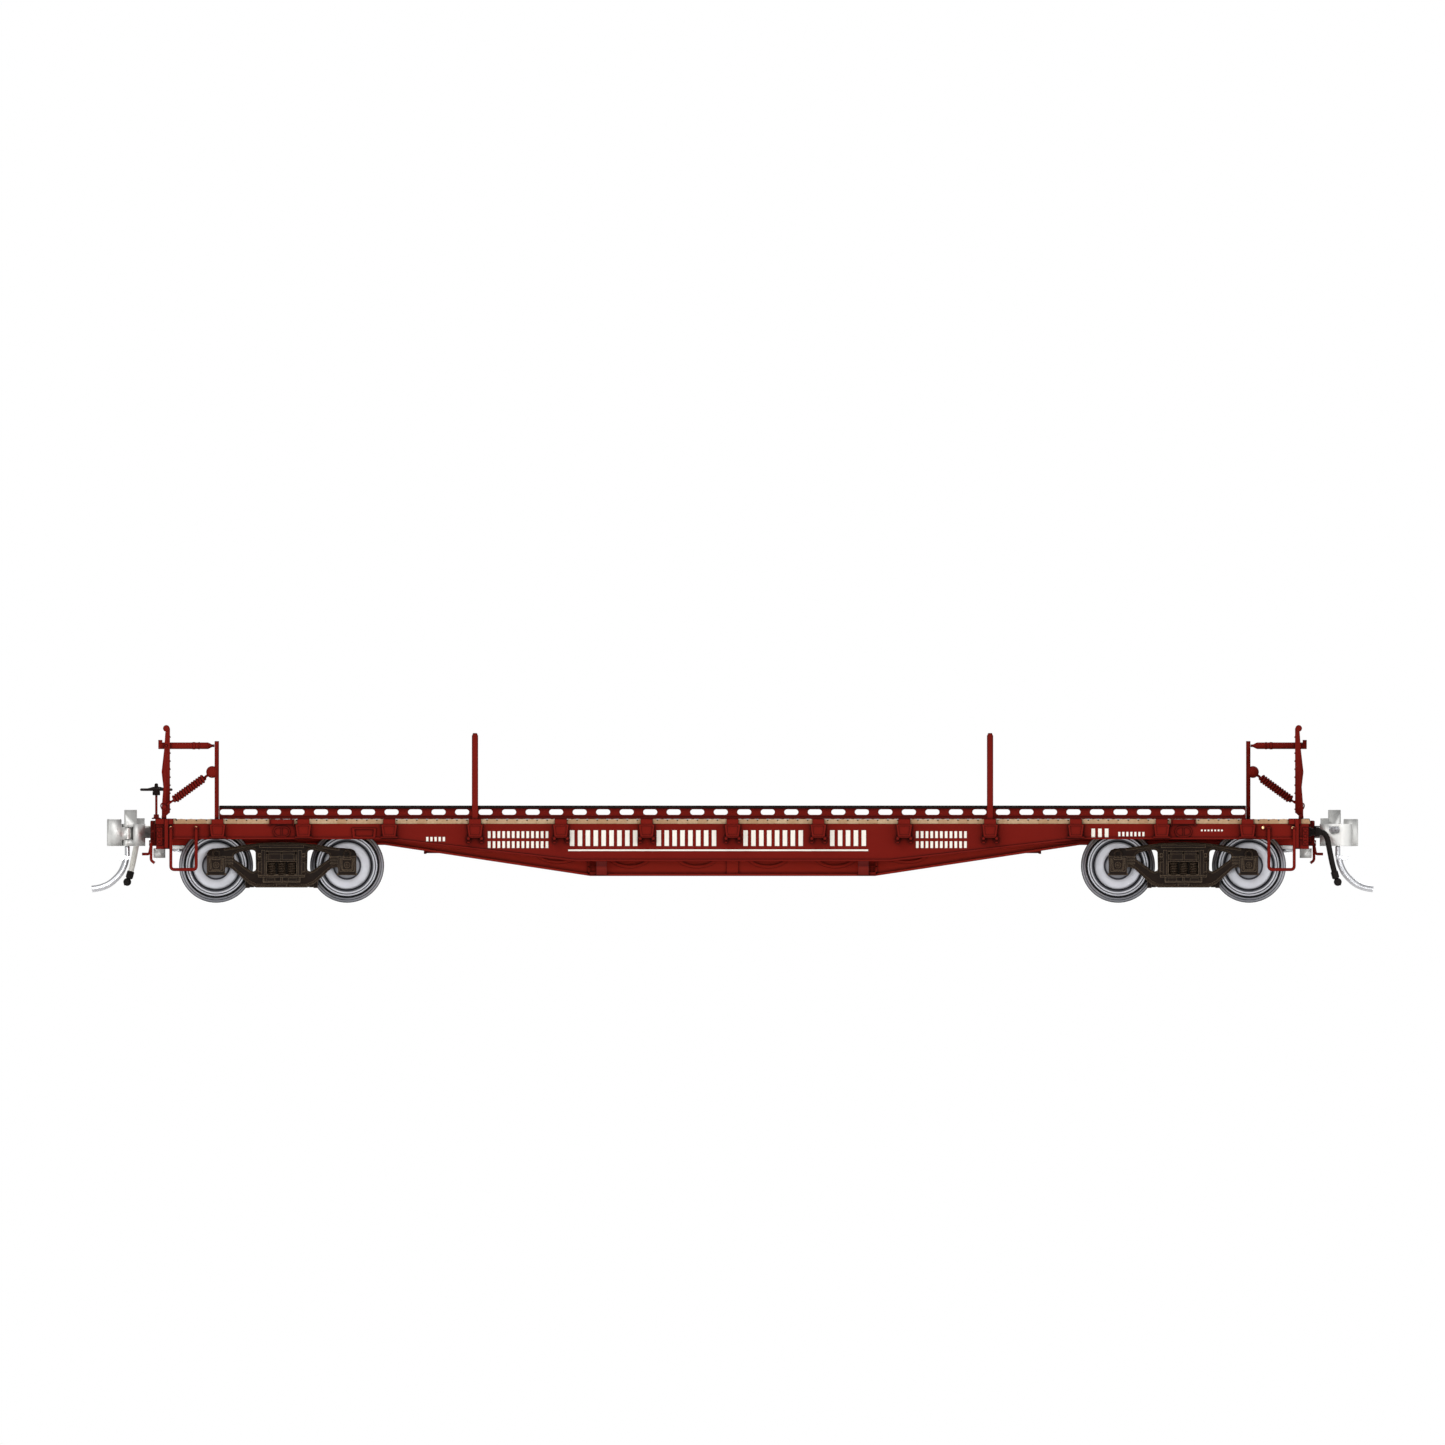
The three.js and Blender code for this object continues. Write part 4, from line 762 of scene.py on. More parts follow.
for end, middle in (("left", -TRUCK_X), ("right", TRUCK_X)):
    for letter, offset in (("a", -AXLE_X), ("b", AXLE_X)):
        body = f"wheelset_{end}_{letter}"
        spot = (middle + offset, 0, AXLE_Z)
        there = Matrix.Translation(spot)
        fixed = bmesh.new()
        wheel(fixed, -1)
        turned_bar(fixed, AXLE_SECTION, (0, 0, 0), ALONG_Y)
        piece(f"wheel_pressed_on_axle_{end}_{letter}", fixed, body, *TURNED_STEEL,
              place=there, origin=spot, replaced=(f"wheel_and_axle_{end}_{letter}",))
        loose = bmesh.new()
        wheel(loose, 1)
        piece(f"wheel_on_bush_{end}_{letter}", loose, body, *TURNED_STEEL,
              place=there, origin=spot, replaced=(f"insulated_wheel_{end}_{letter}",))
        bush = bmesh.new()
        turned_bar(bush, [(0.79, 9.5), (1.15, 9.5), (1.15, 9.84), (0.79, 9.84)], (0, 0, 0), ALONG_Y,
                   steps=24)
        piece(f"insulating_bush_{end}_{letter}", bush, body, truck_plastic, place=there, origin=spot)
print("four wheelsets, flange diameter", 2 * FLANGE_RADIUS, "mm")

# %% [markdown]
# ## Truck side frames
# A cast side frame is a bow over both axle boxes and a tension member under them, joined by two columns
# that hold the springs. The flat casting is one cut plate with two windows and a spring opening.
# Everything that stands out of it is added in layers: raised rims, axle boxes, lids, columns and bolts.
# The coils are real helices, because a spring drawn as a cylinder never catches the light like wire.

# %% Side frames
FRAME_INNER = 10.45
FRAME_OUTER = 11.6


def up(points):
    return [(x, z + AXLE_Z) for x, z in points]


def mirrored(points):
    return [(-x, z) for x, z in points]


HALF_OUTLINE = [(0, 3.52), (3.2, 3.4), (5.2, 3.16), (6.8, 2.9), (8.6, 2.66), (10.3, 2.56), (10.9, 2.3),
                (11.2, 1.8), (11.2, -1.0), (10.7, -1.4), (8.9, -1.4), (8.3, -0.2), (7.9, -0.3),
                (7.4, -0.45), (4.9, -2.75), (4.5, -3.0), (3.8, -3.27)]
WINDOW = [(3.75, 2.0), (3.95, 2.35), (4.4, 2.5), (5.2, 2.45), (6.6, 2.1), (7.15, 1.75), (7.3, 1.35),
          (7.1, 0.85), (4.75, -0.85), (4.3, -1.0), (3.85, -0.85), (3.7, -0.5)]
SPRING_OPENING = [(-2.35, -1.4), (2.35, -1.4), (2.35, 2.3), (-2.35, 2.3)]
outline = up(HALF_OUTLINE + mirrored(HALF_OUTLINE[:0:-1]))
windows = [up(WINDOW), up(mirrored(WINDOW))]


MIDDLE_RELIEF = [(-3.3, 3.3, 2.72, 3.1, 0.28), (-3.45, 3.45, -1.72, -1.45, 0.5),
                 (-2.7, 2.7, -2.5, -2.32, 0.36), (-0.14, 0.14, -2.4, -1.6, 0.34),
                 (-1.1, 1.1, -3.2, -2.72, 0.3)]
COLUMN_RELIEF = [(2.5, 3.0, -1.6, 2.3, 0.24), (3.05, 3.5, -1.5, 1.0, 0.18), (3.05, 3.55, 1.25, 1.85, 0.34),
                 (2.6, 2.78, -2.45, -1.6, 0.34), (1.0, 2.3, -2.28, -1.85, 0.16)]
AXLE_BOX_RELIEF = [(1.35, -1.42, 1.4, 0.45, -0.2), (1.5, -1.42, -1.12, 0.3, -0.2),
                   (1.08, -0.85, 1.15, 0.6, 0.4), (0.6, 0.92, 1.2, 0.74, 0.4)]


def relief(mesh, x, bottom, top, out, root=-0.2):
    """A raised block: heights are from the axle, and it stands out of the frame's face from root to out."""
    block(mesh, x, (FRAME_OUTER + root, FRAME_OUTER + out), (AXLE_Z + bottom, AXLE_Z + top))


def side_frame():
    mesh = bmesh.new()
    cut_plate(mesh, outline, [*windows, up(SPRING_OPENING)], (FRAME_INNER, FRAME_OUTER), rim=0.12)
    block(mesh, (-2.5, 2.5), (FRAME_INNER, FRAME_INNER + 0.25), (AXLE_Z - 1.5, AXLE_Z + 2.4))
    rim_y = FRAME_OUTER + 0.02
    for window in windows:
        loop = [(x, rim_y, z) for x, z in window]
        bent_wire(mesh, loop, 0.15, sides=8, closed=True)
    bow = [(x, rim_y, z - 0.22) for x, z in up(mirrored(HALF_OUTLINE[4:0:-1]) + HALF_OUTLINE[:5])]
    bent_wire(mesh, bow, 0.15, sides=8)
    for side in (-1, 1):
        tie = [(side * x, rim_y, z) for x, z in up([(8.3, 0.1), (7.5, -0.15), (4.9, -2.42), (3.75, -2.95)])]
        bent_wire(mesh, tie, 0.17, sides=8)
    bent_wire(mesh, [(-3.75, rim_y, AXLE_Z - 2.95), (3.75, rim_y, AXLE_Z - 2.95)], 0.17, sides=8)
    raised = bmesh.new()
    for low, high, bottom, top, out in MIDDLE_RELIEF:
        relief(raised, (low, high), bottom, top, out)
    for side in (-1, 1):
        for low, high, bottom, top, out in COLUMN_RELIEF:
            relief(raised, sorted((side * low, side * high)), bottom, top, out)
        for z in (0.35, 0.8, 1.25):
            relief(raised, sorted((side * 7.3, side * 8.5)), z - 0.09, z + 0.09, 0.2)
        for half, bottom, top, out, root in AXLE_BOX_RELIEF:
            relief(raised, about(side * AXLE_X, half), bottom, top, out, root)
    sharp = [e for e in raised.edges if e.is_manifold and e.calc_face_angle(0) > 0.6]
    bmesh.ops.recalc_face_normals(raised, faces=raised.faces)
    bmesh.ops.bevel(raised, geom=sharp, offset=0.06, segments=1, affect="EDGES", clamp_overlap=True)
    joined(mesh, raised)
    for side in (-1, 1):
        x = side * AXLE_X
        lug = [(x + 0.5 * math.cos(t), FRAME_OUTER + 0.4, AXLE_Z + 1.75 + 0.5 * math.sin(t))
               for t in [2 * math.pi * i / 14 for i in range(14)]]
        bent_wire(mesh, lug, 0.15, sides=8, closed=True)
        u_rib = rounded([(x - 0.88, FRAME_OUTER + 0.62, AXLE_Z + 1.0),
                         (x - 0.74, FRAME_OUTER + 0.62, AXLE_Z - 0.66),
                         (x + 0.74, FRAME_OUTER + 0.62, AXLE_Z - 0.66),
                         (x + 0.88, FRAME_OUTER + 0.62, AXLE_Z + 1.0)], 0.3, 4)
        bent_wire(mesh, u_rib, 0.1, sides=6)
        turned_bar(mesh, [(0.42, 0.5), (0.42, 0.68), (0.3, 0.74), (0.2, 0.74), (0.16, 0.66), (0.0, 0.66)],
                   (x, FRAME_OUTER, AXLE_Z + 0.1), ALONG_Y, steps=16)
        for bolt_x, bolt_z in ((3.3, 1.55), (3.3, 0.75), (3.3, -1.15), (1.0, -2.95)):
            turned_bar(mesh, [(0.24, -0.2), (0.24, 0.36), (0.16, 0.44), (0.0, 0.46)],
                       (side * bolt_x, FRAME_OUTER, AXLE_Z + bolt_z), ALONG_Y, steps=8)
    return mesh


print("each frame has", len(windows), "windows and one spring opening")

# %% [markdown]
# ## Springs and bolsters in the trucks
# The springs stand in a nest of three between the frame's columns, each a wire round a plain core.
# The bolster joins the frames, and small ribs, the brake beams and their shoes are cast with it.

# %% Springs, frames and bolsters
def coil(mesh, x, y, low, high, radius, wire_radius, turns, steps=14):
    count = turns * steps
    path = []
    for i in range(count + 1):
        t = 2 * math.pi * i / steps
        path.append((x + radius * math.cos(t), y + radius * math.sin(t), low + (high - low) * i / count))
    bent_wire(mesh, path, wire_radius, sides=6)


for end, middle in (("left", -TRUCK_X), ("right", TRUCK_X)):
    for side, turn in (("far", Matrix.Identity(4)), ("near", HALF_TURN)):
        there = Matrix.Translation((middle, 0, 0)) @ turn
        piece(f"side_frame_casting_{end}_{side}", side_frame(), f"truck_{end}", *MOULDED_BROWN,
              place=there, replaced=(f"side_frame_{end}_{side}",))
        nest = bmesh.new()
        for x in (-1.5, 0, 1.5):
            coil(nest, x, 11.2, 4.22, 6.12, 0.5, 0.17, 5)
            turned_bar(nest, [(0.3, 0.0), (0.3, 1.9)], (x, 11.05, 4.2), UP, steps=8)
        piece(f"spring_nest_{end}_{side}", nest, f"truck_{end}", truck_plastic, place=there)
    broken_edges(f"truck_bolster_{end}", *MOULDED_BROWN)
    broken_edges(f"king_screw_{end}", *BRIGHT_STEEL, width=0.1)
    ends_of_bolster = bmesh.new()
    for y in ((-12.0, -11.9), (11.9, 12.0)):
        for bottom, top in ((0.62, 0.92), (1.72, 2.15)):
            block(ends_of_bolster, (-2.25, 2.25), y, (AXLE_Z + bottom, AXLE_Z + top))
        for x in (-2.1, 0, 2.1):
            block(ends_of_bolster, about(x, 0.15), y, (AXLE_Z + 0.7, AXLE_Z + 2.1))
    for x in (-5.1, 5.1):
        for y in ((-9.8, -8.3), (8.3, 9.8)):
            block(ends_of_bolster, about(x, 0.32), y, (2.2, 3.5))
        block(ends_of_bolster, about(x, 0.2), (-9.6, 9.6), (2.5, 2.9))
    piece(f"bolster_ribs_and_shoes_{end}", ends_of_bolster, f"truck_{end}", truck_plastic,
          place=Matrix.Translation((middle, 0, 0)))
print("side frames reach", FRAME_OUTER + 0.75, "mm from the middle of the car")

# %% [markdown]
# ## Bridge plates and what holds them up
# A bridge plate folds down to the next car and stands upright for travel. Its skin is plain plate with
# welded treads, so that wheels grip it when it lies flat. A lock bar holds it to the end post, and a spring
# balances it. The plate, posts and hinges keep the shape of their solids, with their edges broken as a file
# would leave them.

# %% Plates, posts, stakes and bars
HINGE_X = -85.1
HINGE_Z = 12.92
SKIN_X = HINGE_X + 0.9
BAR_Y = -15.15
BAR_Z = 23.5
LIP_X = -84.75
LIP_Z = 26.1
TREAD_ROWS = 10
PLATE_INNER_EDGE = -8.6
for end in ENDS:
    broken_edges("bridge_plate_" + end, *PAINTED_RED)
    broken_edges("bridge_hinge_" + end, *PAINTED_RED, width=0.04)
    broken_edges("draft_lid_" + end, *CAST_ZINC)
    for side in ("near", "far"):
        broken_edges(f"stake_{end}_{side}", *PAINTED_RED)
for side in ("near", "far"):
    broken_edges("end_post_" + side, *PAINTED_RED)

# %% [markdown]
# ## Treads, hinge tubes and lock bars
# Treads are short welded bars in staggered rows. The plate turns on tubes that mesh with the hinge's own.
# The lock bar is one turned section with two collars and a tapered nose, crossed by the pin that it swings
# on.

# %% Treads, tubes and lock bars
for end, turn in ENDS.items():
    treads = bmesh.new()
    for row in range(TREAD_ROWS):
        z = 14.0 + row * 1.2
        for column in range(5):
            y = -15.0 + column * 1.6 + (0.8 if row % 2 else 0.0)
            if y < PLATE_INNER_EDGE:
                block(treads, (SKIN_X - 0.05, SKIN_X + 0.12), about(y, 0.5), about(z, 0.12))
    piece("welded_treads_" + end, treads, "bridge_" + end, red_paint, place=turn, broken=0.05)
    tubes = bmesh.new()
    for low, high in ((-16.18, -15.78), (-14.52, -7.97)):
        section = [(0.0, low), (0.44, low), (0.5, low + 0.06), (0.5, high - 0.06), (0.44, high),
                   (0.0, high)]
        turned_bar(tubes, section, (LIP_X, 0, LIP_Z), ALONG_Y)
    for low, high in ((-16.17, -14.58), (-13.02, -11.18), (-9.62, -7.98)):
        turned_bar(tubes, [(0.18, low), (0.37, low), (0.37, high), (0.18, high)], (HINGE_X, 0, HINGE_Z),
                   ALONG_Y, 20)
    piece("plate_tubes_" + end, tubes, "bridge_" + end, red_paint, place=turn)
    bar = bmesh.new()
    section = [(0.0, 0.0), (0.44, 0.0), (0.5, 0.06), (0.5, 2.2), (0.5, 5.12), (0.56, 5.16), (0.56, 5.52),
               (0.5, 5.56), (0.5, 5.98), (0.56, 6.02), (0.56, 6.18), (0.5, 6.22), (0.5, 7.4), (0.46, 7.55),
               (0.2, 8.06), (0.2, 8.41), (0.0, 8.41)]
    turned_bar(bar, section, (HINGE_X - 0.86, BAR_Y, BAR_Z), (1, 0, 0), steps=24)
    block(bar, (HINGE_X - 0.86, HINGE_X - 0.24), about(BAR_Y, 0.35), (BAR_Z, BAR_Z + 0.87))
    turned_bar(bar, [(0.2, -0.95), (0.2, 0.95)], (LIP_X, BAR_Y, BAR_Z), ALONG_Y, steps=12)
    piece("lock_bar_turned_" + end, bar, "lock_" + end, *PAINTED_RED, place=turn,
          replaced=("lock_bar_" + end,))
print(TREAD_ROWS, "rows of treads on each plate")

# %% [markdown]
# ## The counterbalance springs
# Each spring is wire wound close, hooked to a ball on the end post and to the plate's pin by an eye. The
# coil is a true helix, set once in place. It hangs on no body, so it does not stretch when the plate folds.

# %% Springs and hooks
BALL = Vector((-77.9, -16.95, 19.57))
BALL_RADIUS = 0.9
EYE = Vector((-85.05, -16.95, 14.35))
PULL = (EYE - BALL).normalized()
ACROSS = PULL.cross(ALONG_Y).normalized()
COIL_START, COIL_END, COIL_TURNS, COIL_STEPS = 1.46, 7.19, 13, 16
HELIX_RADIUS = 0.47
SPRING_WIRE = 0.2
reach = (EYE - BALL).length


def along_spring(distance, turn_share=None, radius=0.0):
    spot = BALL + PULL * distance
    if turn_share is None:
        return spot
    t = 2 * math.pi * turn_share
    return spot + (ACROSS * math.cos(t) + ALONG_Y * math.sin(t)) * radius


for end, turn in ENDS.items():
    ball = bmesh.new()
    arc = [math.pi * i / 14 for i in range(15)]
    turned_bar(ball, [(BALL_RADIUS * math.sin(t), -BALL_RADIUS * math.cos(t)) for t in arc], BALL, UP,
               steps=28)
    piece("post_ball_" + end, ball, "car_body", red_paint, place=turn)
    winding = bmesh.new()
    path = [along_spring(0.85), along_spring(1.25)]
    count = COIL_TURNS * COIL_STEPS
    for i in range(count + 1):
        share = i / count
        swell = min(1.0, 40 * share + 0.4, 40 * (1 - share) + 0.4)
        along = COIL_START + (COIL_END - 0.1 - COIL_START) * share
        path.append(along_spring(along, i / COIL_STEPS, HELIX_RADIUS * swell))
    path.append(along_spring(COIL_END - 0.02))
    bent_wire(winding, path, SPRING_WIRE, sides=8)
    turned_bar(winding, [(0.3, COIL_START + 0.1), (0.3, COIL_END - 0.2)], BALL, PULL, steps=10)
    made = piece("counterbalance_coil_" + end, winding, None, *PAINTED_RED, place=turn,
                 replaced=("counterbalance_spring_" + end,))
    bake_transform(made)
    hook = bmesh.new()
    ring = []
    for i in range(20):
        t = 2 * math.pi * i / 20
        ring.append(EYE + PULL * 0.465 * math.cos(t) + ACROSS * (0.67 * math.sin(t) + 0.03))
    bent_wire(hook, ring, 0.1, sides=8, closed=True)
    bent_wire(hook, [along_spring(COIL_END - 0.15), along_spring(reach - 0.45)], 0.16, sides=10)
    piece("spring_eye_" + end, hook, "hook_" + end, *PAINTED_RED, place=turn,
          replaced=("spring_hook_" + end,))
print("each coil has", COIL_TURNS, "turns and pulls from", round(reach, 2), "mm")

# %% [markdown]
# ## The hand brake
# A brake wheel is a light casting: a round rim, five curved spokes and a domed hub with a nut on top.
# A bent wire closed on itself makes the rim, and wires of changing thickness make the spokes.

# %% Hand brake
STAFF = Vector((-86.25, 9, 16.93))
RIM_RADIUS = 2.25
RIM_WIRE = 0.2
SPOKES = 5
handle = bmesh.new()
turned_bar(handle, [(0.17, -0.85), (0.5, -0.85), (0.57, -0.78), (0.57, -0.3), (0.5, -0.22), (0.48, -0.05),
                    (0.42, 0.1), (0.32, 0.42), (0.28, 0.55), (0.26, 0.82), (0.14, 0.94), (0.0, 0.95)],
           STAFF, UP, steps=24)
turns = [math.pi * i / 24 for i in range(48)]
rim = [STAFF + Vector((RIM_RADIUS * math.cos(t), RIM_RADIUS * math.sin(t), 0)) for t in turns]
bent_wire(handle, rim, RIM_WIRE, sides=10, closed=True)
for i in range(SPOKES):
    spin = Matrix.Rotation(2 * math.pi * i / SPOKES, 3, "Z")
    spoke = [STAFF + spin @ Vector(p) for p in ((0.3, 0, 0.26), (0.8, 0.08, 0.2), (1.5, 0.08, 0.06),
                                                (2.2, 0, 0))]
    bent_wire(handle, swept(spoke, 4), [0.19] * 4 + [0.15] * 9, sides=8)
piece("brake_wheel_cast", handle, "hand_brake", *PAINTED_BLACK, replaced=("brake_wheel",))
staff = bmesh.new()
turned_bar(staff, [(0.18, 12.7), (0.18, 17.1)], (STAFF.x, STAFF.y, 0), UP, steps=16)
piece("brake_staff_turned", staff, "hand_brake", *PAINTED_RED, replaced=("brake_staff",))
broken_edges("brake_stand", *PAINTED_RED, width=0.05)
print("brake wheel is", 2 * (RIM_RADIUS + RIM_WIRE), "mm across")

# %% [markdown]
# ## What is cast, welded and bolted to the side sills
# Over each truck the sill carries a cast lug with one rib, and a plate that laps the deck edge. The middle
# pockets stand on forked feet with nuts, the outer ones on plain base plates, and one corner has a jacking
# pad. All of it is drawn once for the near side. The far side is the same, turned half round, as on the
# car.

# %% Side details
LUG_Z = 10.65
FOOT_Z = 9.8


def proud(by, inside=0.1):
    """The Y range of something that stands out of the near side sill."""
    return (-SILL_FACE - by, -SILL_FACE + inside)


def castings():
    mesh = bmesh.new()
    for x in (-TRUCK_X, TRUCK_X):
        cut_plate(mesh, slot(x, LUG_Z, 1.3, 0.8), [slot(x, LUG_Z, 1.08, 0.58)], proud(0.3), rim=0.08)
        block(mesh, about(x, 1.1), proud(0.1), about(LUG_Z, 0.6))
        block(mesh, about(x, 0.1), proud(0.26), about(LUG_Z, 0.7))
        block(mesh, about(x, 1.85), proud(0.35), (DECK_BOTTOM - 0.06, DECK_TOP - 0.03))
        for rib in about(x, 1.75):
            block(mesh, about(rib, 0.1), proud(0.45), (DECK_BOTTOM - 0.35, DECK_TOP - 0.03))
    pad = [(-57.05, 11.2), (-56.85, 9.64), (-53.45, 9.64), (-53.25, 11.2)]
    cut_plate(mesh, pad, [[(-56.55, 10.95), (-56.45, 9.95), (-53.85, 9.95), (-53.75, 10.95)]], proud(0.22),
              rim=0.05)
    return mesh


print("lugs at", LUG_Z, "mm above the rail top")

# %% [markdown]
# ## Feet of the stake pockets
# Each pocket stands on a plate under a pierced strap. Forked feet with nuts carry the middle seven.
# The pockets are evenly spaced, so one loop with their pitch makes them all.

# %% Pocket feet and brass bolts with a painted highlight
def pocket_feet():
    mesh = bmesh.new()
    for i in range(-6, 7):
        x = i * POCKET_PITCH
        pocket_y = (-POCKET_FACE, -SILL_FACE + 0.1)
        block(mesh, about(x, 1.3), pocket_y, (FOOT_Z - 0.1, FOOT_Z + 0.12))
        strap = [(x - 1.19, 11.72), (x - 0.95, 9.9), (x + 0.95, 9.9), (x + 1.19, 11.72)]
        window = [(x - 0.86, 11.5), (x - 0.68, 10.15), (x + 0.68, 10.15), (x + 0.86, 11.5)]
        cut_plate(mesh, strap, [window], (-POCKET_FACE - 0.1, -POCKET_FACE + 0.1), rim=0.03)
        for side in (-1, 1):
            if abs(i) > 3:
                turned_bar(mesh, [(0.16, 0), (0.16, 0.16), (0.0, 0.2)], (x + side * 1.05, -SILL_FACE, 10.4),
                           (0, -1, 0), 8)
                continue
            leg = sorted((x + side * 0.75, x + side * 1.2))
            block(mesh, leg, pocket_y, (8.9, FOOT_Z))
            block(mesh, (leg[0] - 0.12, leg[1] + 0.12), pocket_y, (9.15, 9.35))
            turned_bar(mesh, [(0.28, 0), (0.28, 0.28), (0.2, 0.36), (0.0, 0.36)],
                       (x + side * 0.98, -POCKET_FACE + 0.31, 9.62), (0, -1, 0), 6)
    return mesh


def sill_bolts():
    mesh = bmesh.new()
    for x in (-84.1, -80.27, 79.4, 83.9):
        turned_bar(mesh, [(0.26, 0), (0.26, 0.18), (0.2, 0.26), (0.0, 0.28)], (x, -SILL_FACE, 11.24),
                   (0, -1, 0), 16)
    return mesh


print("pockets every", POCKET_PITCH, "mm")

# %% [markdown]
# ## Corner castings
# At each corner a casting wraps the end of the deck, with a rib below it and three bolts through the sill.
# The two ends differ a little in width, so their sizes are listed and drawn by the same steps.

# %% Corner castings, and everything set on both sills
def corner_castings():
    mesh = bmesh.new()
    for x, rib, nuts in (((-86.4, -83.7), -84.75, -85.8), ((83.2, 85.1), 84.5, 85.75)):
        block(mesh, x, proud(0.3), (DECK_BOTTOM - 0.1, DECK_TOP + 0.08))
        block(mesh, about(rib, 0.32), proud(0.42), (8.15, DECK_TOP + 0.05))
        block(mesh, (nuts - 0.45, nuts + 0.5), proud(0.2), (8.6, 11.3))
        for z in (9.1, 10.0, 10.8):
            turned_bar(mesh, [(0.27, 0.1), (0.27, 0.4), (0.15, 0.5), (0.0, 0.5)], (nuts, -SILL_FACE, z),
                       (0, -1, 0), 6)
    return mesh


SIDES = {"near": Matrix.Identity(4), "far": HALF_TURN}
for side, turn in SIDES.items():
    piece("sill_castings_" + side, castings(), "car_body", red_paint, place=turn, broken=0.04)
    piece("corner_castings_" + side, corner_castings(), "car_body", red_paint, place=turn, broken=0.05)
    piece("pocket_feet_" + side, pocket_feet(), "car_body", red_paint, place=turn)
    piece("sill_bolts_" + side, sill_bolts(), "car_body", brass_with_painted_highlight, place=turn)
print("details set on", len(SIDES), "sills")

# %% [markdown]
# ## The centre sill
# The deep middle of the frame has shallow oval pressings with raised rims, a joint plate and two brackets a
# side. Each rim is a thin plate, an oval with an oval hole, and the curve's own bevel rounds it.

# %% Centre sill brackets and rims
brackets = bmesh.new()
for side in (-1, 1):
    for x in (-20.8, 20.8):
        y = sorted((side * 3.45, side * 4.0))
        block(brackets, about(x, 0.85), y, (4.3, 4.6))
        block(brackets, about(x, 0.85), y, (5.3, 5.5))
        for leg in about(x, 0.7):
            block(brackets, about(leg, 0.15), y, (4.3, 6.6))
piece("centre_sill_brackets", brackets, "car_body", frame_paint, broken=0.04)
rings = bmesh.new()
for x in (5.3, 15.4, 26.0):
    middle, height = (7.36, 2.0) if x < 20 else (7.41, 1.35)
    for centre in (-x, x):
        for y in ((-3.22, -3.0), (3.0, 3.22)):
            cut_plate(rings, oval(centre, middle, 3.45, height + 0.2, 40),
                      [oval(centre, middle, 2.95, height - 0.24, 40)], y, rim=0.08)
for y in ((-3.3, -3.0), (3.0, 3.3)):
    block(rings, (-0.9, 0.9), y, (4.3, 6.9))
piece("pressed_hole_rims", rings, "car_body", frame_paint)
print("rims on both faces of the centre sill")

# %% [markdown]
# ## Printed bars where lettering would be
# A printed model has a road name and its loads padded on in white ink. This one has plain bars instead, in
# the same places and sizes, so that whoever uses the part can letter it for themselves. Ink has a
# thickness, a few hundredths of a millimetre, so each bar is a very thin block that stands off the sill.

# %% Ink bars
INK = 0.02


def bars(mesh, start, end, low, high, pitch, width):
    for i in range(int((end - start) / pitch)):
        x = start + (i + 0.5) * pitch
        from_pocket = abs(x - POCKET_PITCH * round(x / POCKET_PITCH))
        if from_pocket > 1.35 + width / 2:
            block(mesh, (x - width / 2, x + width / 2), proud(INK, 0.0), (low, high))


def printed():
    mesh = bmesh.new()
    block(mesh, (-24.6, 20.3), proud(INK, 0.0), (7.74, 7.98))
    bars(mesh, -24.6, 20.3, 8.5, 10.85, 1.18, 0.66)
    for low, high in ((9.69, 10.7), (8.2, 9.2)):
        bars(mesh, -37.5, -27.4, low, high, 0.72, 0.4)
        bars(mesh, 27.3, 35.6, low, high, 0.72, 0.4)
    bars(mesh, -46.0, -42.3, 9.2, 9.85, 0.62, 0.34)
    bars(mesh, 52.5, 56.6, 9.6, 11.1, 1.0, 0.55)
    bars(mesh, 57.6, 61.9, 9.95, 10.6, 0.6, 0.32)
    bars(mesh, 70.0, 73.9, 10.7, 10.95, 0.5, 0.26)
    return mesh


for side, turn in SIDES.items():
    piece("printed_bars_" + side, printed(), "car_body", ink, place=turn)
print("ink is", INK, "mm thick")

# %% [markdown]
# ## Steps, cut levers and other bent wire
# Sill steps and uncoupling levers are soft wire, bent round a former, so every corner has a small radius. A
# path with rounded corners, swept by a circle, gives just that. Each step hangs from two flattened, bolted
# feet.

# %% Steps
STEP_Y = 16.54
STEP_BOTTOM = 4.97
STEP_TOP = 11.06
MIRROR_X = Matrix.Scale(-1, 4, (1, 0, 0))
CORNERS = {"left_near": Matrix.Identity(4), "right_far": HALF_TURN, "right_near": MIRROR_X,
           "left_far": HALF_TURN @ MIRROR_X}
for corner, turn in CORNERS.items():
    wire = bmesh.new()
    path = [(-84.08, -STEP_Y, STEP_TOP), (-84.08, -STEP_Y, STEP_BOTTOM), (-80.28, -STEP_Y, STEP_BOTTOM),
            (-80.28, -STEP_Y, STEP_TOP)]
    bent_wire(wire, rounded(path, 0.55), 0.24, sides=12)
    for x in (-84.08, -80.28):
        block(wire, about(x, 0.28), (-STEP_Y - 0.1, -SILL_FACE), (10.75, 11.36))
    piece("sill_step_" + corner, wire, "car_body", *PAINTED_RED, place=turn,
          replaced=("step_" + corner,))

print("steps hang to", STEP_BOTTOM, "mm above the rail top")

# %% [markdown]
# ## The ends of the car
# The cut lever lifts the coupler's lock from the side. A grab iron and a striker casting sit on the end
# sill, the casting round the opening that the coupler's shank comes through. The hand brake's staff runs in
# a bracket.

